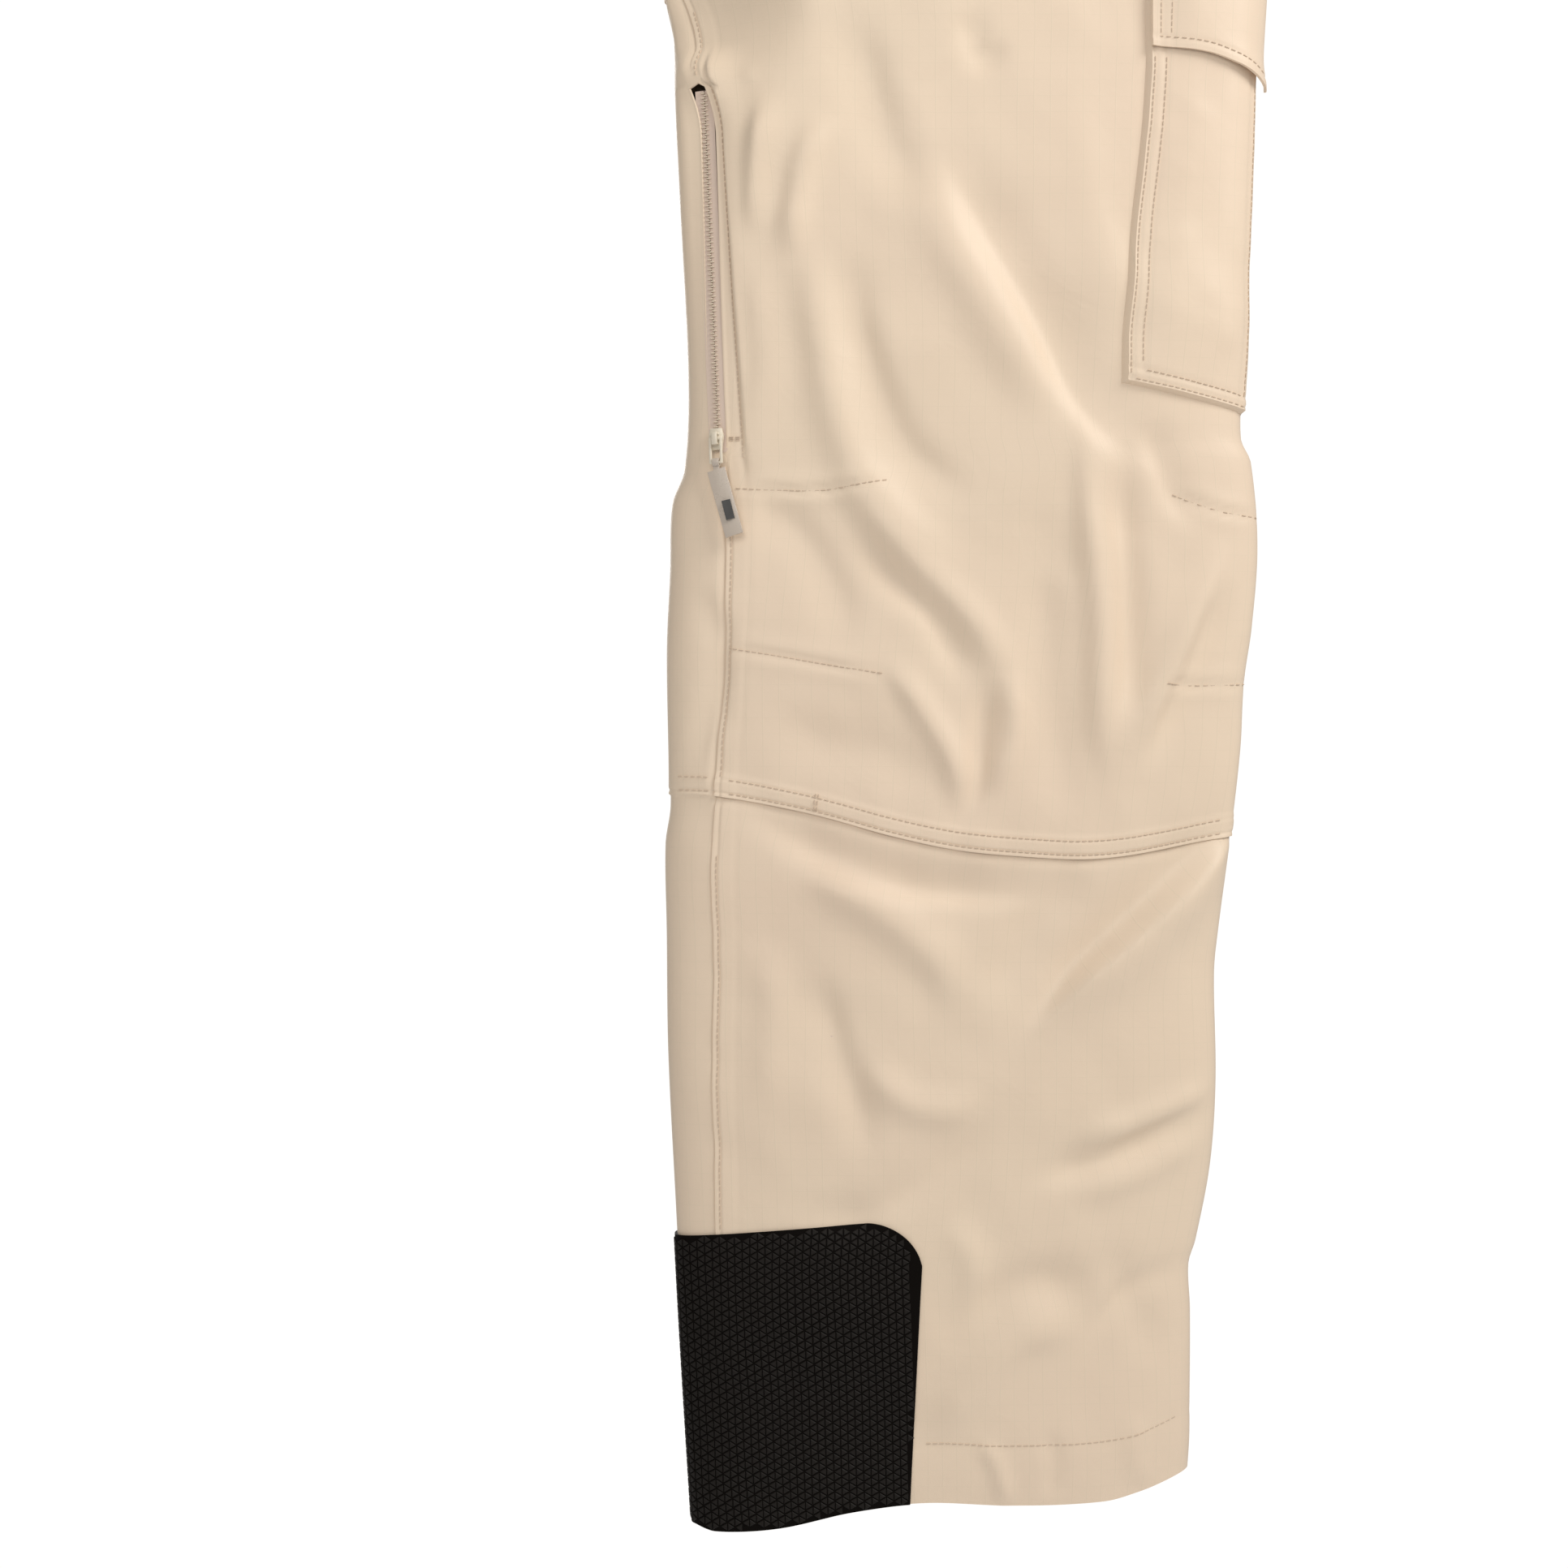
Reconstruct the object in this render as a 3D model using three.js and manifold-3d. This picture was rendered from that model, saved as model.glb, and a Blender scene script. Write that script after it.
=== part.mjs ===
// Ski pants folded in half along the centre line and hung by the waistband.
// The left half lies in front (y < 0), the right half is its mirror image behind (y > 0),
// and the fold line is a vertical hinge at the centre front and centre back.
// Millimetres, +Z up. The origin is at the top of the waistband, where a hanger holds it.

import * as THREE from 'three';
import { mergeVertices } from 'three/addons/utils/BufferGeometryUtils.js';
import Module from 'manifold-3d';

const wasm = await Module();
wasm.setup();

const { clamp, lerp, smoothstep } = THREE.MathUtils;

// Heights above the lowest point of the hem
const KNEE = 350;
const CROTCH = 794;
const WAIST_TOP = 1065;
const WAISTBAND_HEIGHT = 45;
const ROW_STEP = 64;
const FRONT_COLUMNS = 20;
const BACK_COLUMNS = 16;
const INNER_COLUMNS = 6;

// Flat-laid tube: half depth of a leg, of the hips and of the waist, and its squareness
const LEG_HALF_DEPTH = 22;
const WAIST_HALF_DEPTH = 15;
const SQUARENESS = 3;

// The fold between the halves
const FOLD_CLEARANCE = 0.05;
const FOLD_PINCH = 0.2;
const FOLD_PINCH_RUN = 90;
const FOLD_SLOT_ANGLE = 0.15;

// Cloth, seams and clearances
const SHELL = 2;
const SEAM_GAP = 0.4;
const PATCH_GAP = 0.4;

// Turned hem and black scuff guard
const HEM_HEIGHT = 30;
const FACING = 1.5;
const GUARD_HEIGHT = 150;
const GUARD_FRONT_X = -25;
const GUARD_BACK_X = -60;
const GUARD_THICK = 1.6;
const GUARD_GAP = 0.7;

// Snow gaiter inside the leg, its elastic and its boot hook
const GAITER_HEIGHT = 250;
const GAITER_INSET = 8;
const GAITER_THICK = 1.5;
const GAITER_RISE = 24;
const ELASTIC_WIDTH = 16;
const ELASTIC_THICK = 1;
const HOOK_WIDTH = 8;
const HOOK_LENGTH = 16;
const HOOK_THICK = 1.2;
const HOOK_THROAT = 2.6;

// Inner-thigh vent, hand pocket and fly zips
const COIL_WIDTH = 7.4;
const COIL_THICK = 2.4;
const COIL_CLEARANCE = 1.4;
const COIL_PROUD = 1;
const VENT_LENGTH = 187;
const VENT_BELOW_CROTCH = 65;
const SLIDER_WIDTH = 7.6;
const SLIDER_LENGTH = 11;
const SLIDER_BASE = 2.4;
const SLIDER_CLEARANCE = 0.4;
const SLIDER_END_GAP = 1;
const BRIDGE_WIDTH = 3;
const BRIDGE_ROOM = 2.4;
const BRIDGE_SPAN = 4;
const BRIDGE_WALL = 1.2;
const PULL_BAR = 1.4;
const PULL_WIDTH = 7;
const VENT_PULL_LENGTH = 12;
const PULL_LENGTH = 22;
const TAG_WIDTH = 9.4;
const TAG_LENGTH = 34;
const TAG_THICK = 1.2;
const TAG_TILT = 0.24;
const TAG_BORE_GAP = 0.25;
const HAND_ZIP_LENGTH = 140;
const HAND_ZIP_X = 62;
const HAND_ZIP_LEAN = 34;
const FLY_LENGTH = 165;
const FLY_X = -140;
const SHIELD_WIDTH = 40;
const SHIELD_THICK = 1;
const SHIELD_GAP = 1.3;

// Cargo pocket and flap on the outside of the thigh
const POCKET_LEFT_X = 80;
const POCKET_LEFT_LEAN = 11;
const POCKET_HEIGHT = 216;
const POCKET_SLANT = 15;
const POCKET_GAP = 0.7;
const POCKET_DEPTH = 10;
const POCKET_SIDE_DEPTH = 4;
const POCKET_WALL = 1.2;
const POCKET_BELOW_CROTCH = 8;
const FLAP_HEIGHT = 74;
const FLAP_LIFT = 22;
const FLAP_THICK = 1.4;
const FLAP_ABOVE_CROTCH = 18;
const SNAP_RADIUS = 5;
const SNAP_THICK = 1.6;
const SNAP_X = 112;

// Waist fittings
const TAB_LENGTH = 42;
const TAB_WIDTH = 24;
const TAB_THICK = 1.8;
const TAB_X = 20;
const LOOP_WIDTH = 9;
const LOOP_STANDOFF = 3;
const LOOP_THICK = 1.3;
const LOOP_END = 5;
const LOOP_FRONT_X = -70;
const LOOP_SIDE_X = 52;
const WAIST_SNAP_RADIUS = 7;
const WAIST_SNAP_X = -132;

const FOLD_GAP = GUARD_GAP + GUARD_THICK + FOLD_CLEARANCE;
const HIP_TOP = WAIST_TOP - WAISTBAND_HEIGHT;
const VENT_TOP = CROTCH - VENT_BELOW_CROTCH;
const VENT_BOTTOM = VENT_TOP - VENT_LENGTH;
const POCKET_TOP = CROTCH - POCKET_BELOW_CROTCH;
const POCKET_BOTTOM = POCKET_TOP - POCKET_HEIGHT;
const FLAP_TOP = CROTCH + FLAP_ABOVE_CROTCH;
const INNER_TOP = CROTCH - 14;
const FLY_TOP = HIP_TOP - 8;
const FLY_FOOT = FLY_TOP - FLY_LENGTH;

const COLOURS = {
  shell: [0xe6d4bb, 0.62, 0],
  lining: [0xd8c6b2, 0.75, 0],
  guard: [0x17130f, 0.6, 0],
  coil: [0xddcbb2, 0.5, 0],
  slider: [0xe4d8c4, 0.4, 0],
  pull: [0xe9dfcc, 0.5, 0],
  tag: [0x9a948c, 0.4, 0],
  elastic: [0x3a3733, 0.8, 0],
  hook: [0x8e9094, 0.35, 0.9],
  snap: [0xbcb6ac, 0.35, 0.8],
};

// A smooth line through a few points, each a height (or place across) and a value
function lineThrough(points) {
  const last = points.length - 1;
  const slope = (k) => {
    const before = points[Math.max(k - 1, 0)];
    const after = points[Math.min(k + 1, last)];
    return (after[1] - before[1]) / (after[0] - before[0]);
  };
  return (at) => {
    if (at <= points[0][0]) return points[0][1];
    if (at >= points[last][0]) return points[last][1];
    const k = points.findIndex((point) => point[0] > at) - 1;
    const span = points[k + 1][0] - points[k][0];
    const part = (at - points[k][0]) / span;
    const straight = lerp(points[k][1], points[k + 1][1], part * part * (3 - 2 * part));
    return straight + span * part * (1 - part) * ((1 - part) * slope(k) - part * slope(k + 1));
  };
}

const shin = (part) => part * KNEE;
const thigh = (part) => lerp(KNEE, CROTCH, part);
const rise = (part) => lerp(CROTCH, HIP_TOP, part);

// Silhouette of the folded half: the inner edge ends in the fold line above the crotch
const innerEdge = lineThrough([
  [0, -136.5], [shin(0.28), -142.5], [shin(0.7), -149.8], [KNEE, -150.5],
  [thigh(0.3), -147.7], [thigh(0.54), -138.6], [thigh(0.72), -142.5], [thigh(0.88), -144.5],
  [CROTCH, -152.5], [WAIST_TOP, -152.5],
]);
const outerEdge = lineThrough([
  [0, 112.5], [shin(0.38), 114.8], [shin(0.6), 126.5], [KNEE, 135],
  [thigh(0.33), 148.5], [thigh(0.46), 141], [thigh(0.62), 141], [thigh(0.84), 143],
  [CROTCH, 149], [rise(0.3), 150], [rise(0.65), 125], [HIP_TOP, 85], [WAIST_TOP, 85],
]);
const halfDepth = lineThrough([
  [0, LEG_HALF_DEPTH], [CROTCH, LEG_HALF_DEPTH], [HIP_TOP, WAIST_HALF_DEPTH], [WAIST_TOP, WAIST_HALF_DEPTH],
]);

// How far the seam between the front and the inner panel lies from the inner edge
const seamInset = lineThrough([
  [0, 17], [shin(0.43), 20], [shin(0.8), 24], [thigh(0.05), 23], [thigh(0.27), 29],
  [thigh(0.43), 18], [thigh(0.85), 12], [INNER_TOP, 9], [CROTCH, 1],
]);
const hemLine = lineThrough([[-136, 2.4], [-126, 0], [-77, 6], [-28, 14.7], [69, 16.7], [113, 30]]);
const kneeLine = lineThrough([[-150, 22], [-77, 12], [-4, -6], [64, -10.6], [135, 1]]);

const power = (value, exponent) => Math.sign(value) * Math.abs(value) ** exponent;

// How much the depth narrows towards the fold line, near and above the crotch
function foldTaper(across, z) {
  const pinch = lerp(1, FOLD_PINCH, smoothstep(z, CROTCH - FOLD_PINCH_RUN, CROTCH));
  return lerp(pinch, 1, smoothstep(across, -1, -0.5));
}

// A point on the left half: angle 0 is the outer edge, a quarter turn the front, half a turn the inner edge
function wall(angle, z, out = 0) {
  const inner = innerEdge(z);
  const outer = outerEdge(z);
  const across = power(Math.cos(angle), 2 / SQUARENESS);
  const round = power(Math.sin(angle), 2 / SQUARENESS);
  const depth = halfDepth(z) * foldTaper(across, z);
  const x = (inner + outer) / 2 + ((outer - inner) / 2 + out) * across;
  return new THREE.Vector3(x, -FOLD_GAP - depth - (depth + out) * round, z);
}

// The angle of the front wall at a place across
function angleAt(x, z) {
  const inner = innerEdge(z);
  const outer = outerEdge(z);
  const across = clamp((2 * x - inner - outer) / (outer - inner), -1, 1);
  return Math.acos(power(across, SQUARENESS / 2));
}

// The direction that faces out of the front wall at a place across
function outwardAt(x, z) {
  const angle = angleAt(x, z);
  const along = wall(angle - 0.05, z).sub(wall(angle + 0.05, z));
  return new THREE.Vector3(along.y, -along.x, 0).normalize();
}

const fullTurn = 2 * Math.PI;
const sideSeam = (z) => (SEAM_GAP / 2 / halfDepth(z)) ** (SQUARENESS / 2);
const slotHalfWidth = (z) => {
  const inVent = z > VENT_BOTTOM - 1 && z < VENT_TOP + 1;
  return inVent ? COIL_WIDTH / 2 + COIL_CLEARANCE : SEAM_GAP / 2;
};
const freeSeam = (z) => innerEdge(z) + seamInset(z);

// The vent runs straight, so that its slider can
function seamX(z) {
  if (z < VENT_BOTTOM || z > VENT_TOP) return freeSeam(z);
  return lerp(freeSeam(VENT_BOTTOM), freeSeam(VENT_TOP), (z - VENT_BOTTOM) / VENT_LENGTH);
}

const foldSlot = Math.PI - FOLD_SLOT_ANGLE;
function frontEnd(z) {
  if (z >= CROTCH) return foldSlot;
  return Math.min(angleAt(seamX(z) + slotHalfWidth(z), z), foldSlot);
}
const innerStart = (z) => angleAt(seamX(z) - slotHalfWidth(z), z);
const innerEnd = (z) => fullTurn - angleAt(seamX(z) - SEAM_GAP / 2, z);
function backStart(z) {
  if (z >= CROTCH) return fullTurn - foldSlot;
  return fullTurn - Math.min(angleAt(seamX(z) + SEAM_GAP / 2, z), foldSlot);
}

// Heights at which every panel has a row of corners, so that neighbours meet along their seams
const ROWS = [VENT_BOTTOM - 2, VENT_BOTTOM, VENT_TOP, VENT_TOP + 2, INNER_TOP, CROTCH, FLY_FOOT, FLY_TOP];
for (let z = ROW_STEP; z < WAIST_TOP; z += ROW_STEP) {
  if (ROWS.every((row) => Math.abs(row - z) > ROW_STEP / 5)) ROWS.push(z);
}
ROWS.sort((a, b) => a - b);

const level = (z) => ({ at: z, line: () => z });
const hemEdge = (lift = 0) => ({ at: shin(0.1), line: (x) => hemLine(x) + lift });
const kneeEdge = (lift = 0) => ({ at: KNEE, line: (x) => KNEE + kneeLine(x) + lift });
const valueOf = (given, ...place) => (typeof given === 'function' ? given(...place) : given);

function outwardFaces(positions, faces) {
  const geometry = new THREE.BufferGeometry();
  const coordinates = positions.flatMap((p) => [p.x, p.y, p.z]);
  geometry.setAttribute('position', new THREE.Float32BufferAttribute(coordinates, 3));
  const volume = faces.reduce((sum, [a, b, c]) => {
    return sum + positions[a].dot(new THREE.Vector3().crossVectors(positions[b], positions[c]));
  }, 0);
  geometry.setIndex(faces.flatMap(([a, b, c]) => (volume < 0 ? [a, c, b] : [a, b, c])));
  geometry.computeVertexNormals();
  return geometry;
}

// A sheet of cloth that follows the tube between two angles and two edges
function slab({ from, to, low, high, inner, outer, columns, rows = ROWS, closed = false }) {
  const places = closed ? columns : columns + 1;
  const edgeAt = (edge, part) => edge.line(wall(lerp(from(edge.at), to(edge.at), part), edge.at).x);
  const parts = Array.from({ length: places }, (_, i) => i / columns);
  const lows = parts.map((part) => edgeAt(low, part));
  const highs = parts.map((part) => edgeAt(high, part));
  const margin = 3;
  const between = rows.filter((z) => z > Math.max(...lows) + margin && z < Math.min(...highs) - margin);
  const count = between.length + 2;
  const positions = [];
  for (const side of [outer, inner]) {
    parts.forEach((part, i) => {
      [lows[i], ...between, highs[i]].forEach((z) => {
        const angle = lerp(from(z), to(z), part);
        positions.push(wall(angle, z, valueOf(side, angle, z)));
      });
    });
  }
  const layer = places * count;
  const faces = [];
  const quad = (a, b, c, d) => faces.push([a, b, c], [a, c, d]);
  const spans = closed ? places : places - 1;
  for (let i = 0; i < spans; i += 1) {
    const here = i * count;
    const next = ((i + 1) % places) * count;
    for (let j = 0; j < count - 1; j += 1) {
      quad(here + j, next + j, next + j + 1, here + j + 1);
      quad(layer + here + j, layer + here + j + 1, layer + next + j + 1, layer + next + j);
    }
    quad(here, layer + here, layer + next, next);
    quad(here + count - 1, next + count - 1, layer + next + count - 1, layer + here + count - 1);
  }
  if (!closed) {
    const end = (places - 1) * count;
    for (let j = 0; j < count - 1; j += 1) {
      quad(j, j + 1, layer + j + 1, layer + j);
      quad(end + j, layer + end + j, layer + end + j + 1, end + j + 1);
    }
  }
  return outwardFaces(positions, faces);
}

const ring = (sizes) => slab({ ...sizes, from: () => 0, to: () => fullTurn, columns: 24, closed: true });

function toSolid(geometry) {
  const bare = geometry.clone();
  bare.deleteAttribute('normal');
  bare.deleteAttribute('uv');
  const merged = mergeVertices(bare, 1e-4);
  return new wasm.Manifold(new wasm.Mesh({
    numProp: 3,
    vertProperties: new Float32Array(merged.attributes.position.array),
    triVerts: new Uint32Array(merged.index.array),
  }));
}

function fromSolid(solid) {
  const mesh = solid.getMesh();
  const geometry = new THREE.BufferGeometry();
  geometry.setAttribute('position', new THREE.BufferAttribute(mesh.vertProperties, 3));
  geometry.setIndex(new THREE.BufferAttribute(mesh.triVerts, 1));
  geometry.computeVertexNormals();
  return geometry;
}

const outline = (points) => new THREE.Shape(points.map(([a, b]) => new THREE.Vector2(a, b)));

// A flat plate: its outline lies across and along, its thickness faces out
function plate(shape, thick, out = 0) {
  const geometry = new THREE.ExtrudeGeometry(shape, { depth: thick, bevelEnabled: false, curveSegments: 6 });
  return geometry.rotateX(Math.PI / 2).translate(0, out + thick, 0);
}

// A bar whose outline lies outward and along, stretched across
function crossBar(shape, width) {
  const geometry = new THREE.ExtrudeGeometry(shape, { depth: width, bevelEnabled: false, curveSegments: 6 });
  const turn = new THREE.Matrix4().makeBasis(
    new THREE.Vector3(0, 1, 0),
    new THREE.Vector3(0, 0, 1),
    new THREE.Vector3(1, 0, 0),
  );
  return geometry.translate(0, 0, -width / 2).applyMatrix4(turn);
}

function rectangle(width, bottom, top) {
  return outline([[-width / 2, bottom], [width / 2, bottom], [width / 2, top], [-width / 2, top]]);
}

function material(kind) {
  const [color, roughness, metalness] = COLOURS[kind];
  return new THREE.MeshStandardMaterial({ color, roughness, metalness });
}

function piece(name, kind, geometry) {
  const mesh = new THREE.Mesh(geometry, material(kind));
  mesh.name = name;
  return mesh;
}

// A group whose x runs across, y faces out and z runs along, from one point towards another
function track(start, end, outward) {
  const along = end.clone().sub(start).normalize();
  const facing = outward.clone().addScaledVector(along, -outward.dot(along)).normalize();
  const across = new THREE.Vector3().crossVectors(facing, along);
  const group = new THREE.Group();
  group.setRotationFromMatrix(new THREE.Matrix4().makeBasis(across, facing, along));
  group.position.copy(start);
  return group;
}

function sliderBody() {
  const half = SLIDER_WIDTH / 2;
  const end = SLIDER_LENGTH / 2;
  const base = plate(outline([[-half * 0.7, -end], [half * 0.7, -end], [half, end * 0.3], [half * 0.8, end],
    [-half * 0.8, end], [-half, end * 0.3]]), SLIDER_BASE);
  const foot = SLIDER_BASE / 2;
  const roof = SLIDER_BASE + BRIDGE_ROOM + BRIDGE_WALL;
  const reach = BRIDGE_SPAN / 2 + BRIDGE_WALL;
  const bridgeSide = outline([[foot, -reach], [roof, -reach], [roof, reach], [foot, reach]]);
  const bridge = crossBar(bridgeSide, BRIDGE_WIDTH);
  const eyeEnd = BRIDGE_SPAN / 2;
  const eyeTop = SLIDER_BASE + BRIDGE_ROOM;
  const eyeSide = outline([[SLIDER_BASE, -eyeEnd], [eyeTop, -eyeEnd], [eyeTop, eyeEnd], [SLIDER_BASE, eyeEnd]]);
  const eye = crossBar(eyeSide, BRIDGE_WIDTH + 2);
  return fromSolid(toSolid(bridge).subtract(toSolid(eye)).add(toSolid(base)));
}

// The pull's origin is the middle of its top bar
function pullLoop(length) {
  const edge = PULL_BAR / 2;
  const shape = rectangle(PULL_WIDTH, -length - edge, edge);
  const gap = PULL_WIDTH / 2 - PULL_BAR;
  const window = new THREE.Path([[-gap, -length + edge], [-gap, -edge], [gap, -edge], [gap, -length + edge]]
    .map(([a, b]) => new THREE.Vector2(a, b)));
  shape.holes.push(window);
  return plate(shape, PULL_BAR, -edge);
}

// The tag's origin is the middle of the bore in its knuckle
function zipTag() {
  const bore = PULL_BAR * Math.SQRT1_2 + TAG_BORE_GAP;
  const knuckleRadius = bore + 1;
  const knuckleShape = new THREE.Shape().absarc(0, 0, knuckleRadius, 0, fullTurn);
  knuckleShape.holes.push(new THREE.Path().absarc(0, 0, bore, 0, fullTurn));
  const knuckle = crossBar(knuckleShape, PULL_WIDTH - 2 * PULL_BAR - 2 * SEAM_GAP);
  const strapLength = 3;
  const strapShape = rectangle(BRIDGE_WIDTH, -knuckleRadius - strapLength, -bore - 0.4);
  const strap = plate(strapShape, TAG_THICK, -TAG_THICK / 2);
  const body = plate(rectangle(TAG_WIDTH, -TAG_LENGTH, 0.6), TAG_THICK, -TAG_THICK / 2);
  body.rotateY(TAG_TILT).translate(0, 0, -knuckleRadius - strapLength + 1);
  return fromSolid(toSolid(knuckle).add(toSolid(strap)).add(toSolid(body)));
}

// A coil with its slider, pull and, on a vent, its tag. The coil's foot is at the group's origin
function zip(names, start, end, outward, withTag) {
  const group = track(start, end, outward);
  const length = start.distanceTo(end);
  const coil = new THREE.BoxGeometry(COIL_WIDTH, COIL_THICK, length).translate(0, COIL_THICK / 2, length / 2);
  group.add(piece(names.coil, 'coil', coil));
  const slider = piece(names.slider, 'slider', sliderBody());
  slider.position.set(0, COIL_THICK + SLIDER_CLEARANCE, SLIDER_LENGTH / 2 + SLIDER_END_GAP);
  group.add(slider);
  const pullLength = withTag ? VENT_PULL_LENGTH : PULL_LENGTH;
  const pull = piece(names.pull, 'pull', pullLoop(pullLength));
  pull.position.copy(slider.position);
  pull.position.y += SLIDER_BASE + BRIDGE_ROOM / 2;
  group.add(pull);
  if (withTag) {
    const tag = piece(names.tag, 'tag', zipTag());
    tag.position.copy(pull.position);
    tag.position.z -= pullLength;
    group.add(tag);
  }
  return group;
}

function zipNames(stem) {
  return { coil: `${stem}_coil`, slider: `${stem}_slider`, pull: `${stem}_pull`, tag: `${stem}_tag` };
}

// The six shell panels of a half
function panels(half) {
  const cloth = { inner: -SHELL, outer: 0 };
  const seam = SEAM_GAP / 2;
  const shapes = {
    thigh_front: {
      from: sideSeam, to: frontEnd, low: kneeEdge(seam), high: level(HIP_TOP - seam), columns: FRONT_COLUMNS,
    },
    thigh_inner: {
      from: innerStart, to: innerEnd, low: kneeEdge(seam), high: level(INNER_TOP), columns: INNER_COLUMNS,
    },
    thigh_back: {
      from: backStart,
      to: (z) => fullTurn - sideSeam(z),
      low: kneeEdge(seam),
      high: level(HIP_TOP - seam),
      columns: BACK_COLUMNS,
    },
    shin_front: {
      from: sideSeam, to: frontEnd, low: hemEdge(), high: kneeEdge(-seam), columns: FRONT_COLUMNS,
    },
    shin_inner: {
      from: innerStart, to: innerEnd, low: hemEdge(), high: kneeEdge(-seam), columns: INNER_COLUMNS,
    },
    shin_back: {
      from: backStart,
      to: (z) => fullTurn - sideSeam(z),
      low: hemEdge(),
      high: kneeEdge(-seam),
      columns: BACK_COLUMNS,
    },
  };
  return Object.entries(shapes).map(([name, shape]) => {
    const panel = slab({ ...cloth, ...shape });
    return piece(`${half}_${name}`, 'shell', panel);
  });
}

function cuff(half) {
  const facing = ring({
    low: hemEdge(1), high: hemEdge(HEM_HEIGHT), outer: -SHELL - PATCH_GAP, inner: -SHELL - PATCH_GAP - FACING,
  });
  const guard = slab({
    from: (z) => angleAt(GUARD_FRONT_X, z),
    to: (z) => fullTurn - angleAt(GUARD_BACK_X, z),
    low: hemEdge(),
    high: level(GUARD_HEIGHT),
    inner: GUARD_GAP,
    outer: GUARD_GAP + GUARD_THICK,
    columns: 26,
  });
  return [piece(`${half}_cuff_hem`, 'shell', facing), piece(`${half}_scuff_guard`, 'guard', guard)];
}

function gaiter(half) {
  const top = SHELL + 2 * PATCH_GAP;
  const inset = (z) => lerp(GAITER_INSET, top, smoothstep(z, GAITER_HEIGHT * 0.4, GAITER_HEIGHT));
  const sleeve = ring({
    low: hemEdge(GAITER_RISE),
    high: level(GAITER_HEIGHT),
    outer: (_, z) => -inset(z),
    inner: (_, z) => -inset(z) - GAITER_THICK,
  });
  const bandOut = -GAITER_INSET - GAITER_THICK - PATCH_GAP;
  const elastic = ring({
    low: hemEdge(GAITER_RISE + 2),
    high: hemEdge(GAITER_RISE + 2 + ELASTIC_WIDTH),
    outer: bandOut,
    inner: bandOut - ELASTIC_THICK,
  });
  const hookX = -10;
  const hookTop = hemLine(hookX) + GAITER_RISE - PATCH_GAP;
  const turn = HOOK_THICK + HOOK_THROAT;
  const hookShape = outline([[0, 0], [0, -HOOK_LENGTH], [-turn - HOOK_THICK, -HOOK_LENGTH],
    [-turn - HOOK_THICK, -HOOK_LENGTH / 2], [-turn, -HOOK_LENGTH / 2], [-turn, -HOOK_LENGTH + HOOK_THICK],
    [-HOOK_THICK, -HOOK_LENGTH + HOOK_THICK], [-HOOK_THICK, 0]]);
  const hook = piece(`${half}_boot_hook`, 'hook', crossBar(hookShape, HOOK_WIDTH));
  const seat = wall(angleAt(hookX, hookTop), hookTop, -GAITER_INSET);
  const holder = track(seat, seat.clone().setZ(hookTop + 1), outwardAt(hookX, hookTop));
  holder.add(hook);
  const gaiterPiece = piece(`${half}_gaiter`, 'lining', sleeve);
  const elasticPiece = piece(`${half}_gaiter_elastic`, 'elastic', elastic);
  return [gaiterPiece, elasticPiece, holder];
}

const pocketDepth = (angle) => lerp(POCKET_SIDE_DEPTH, POCKET_DEPTH, smoothstep(angle, 0.05, 0.6));
const pocketLeft = (z) => POCKET_LEFT_X + POCKET_LEFT_LEAN * smoothstep(z, POCKET_BOTTOM, POCKET_TOP);
const pocketSide = 0.06;

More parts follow.
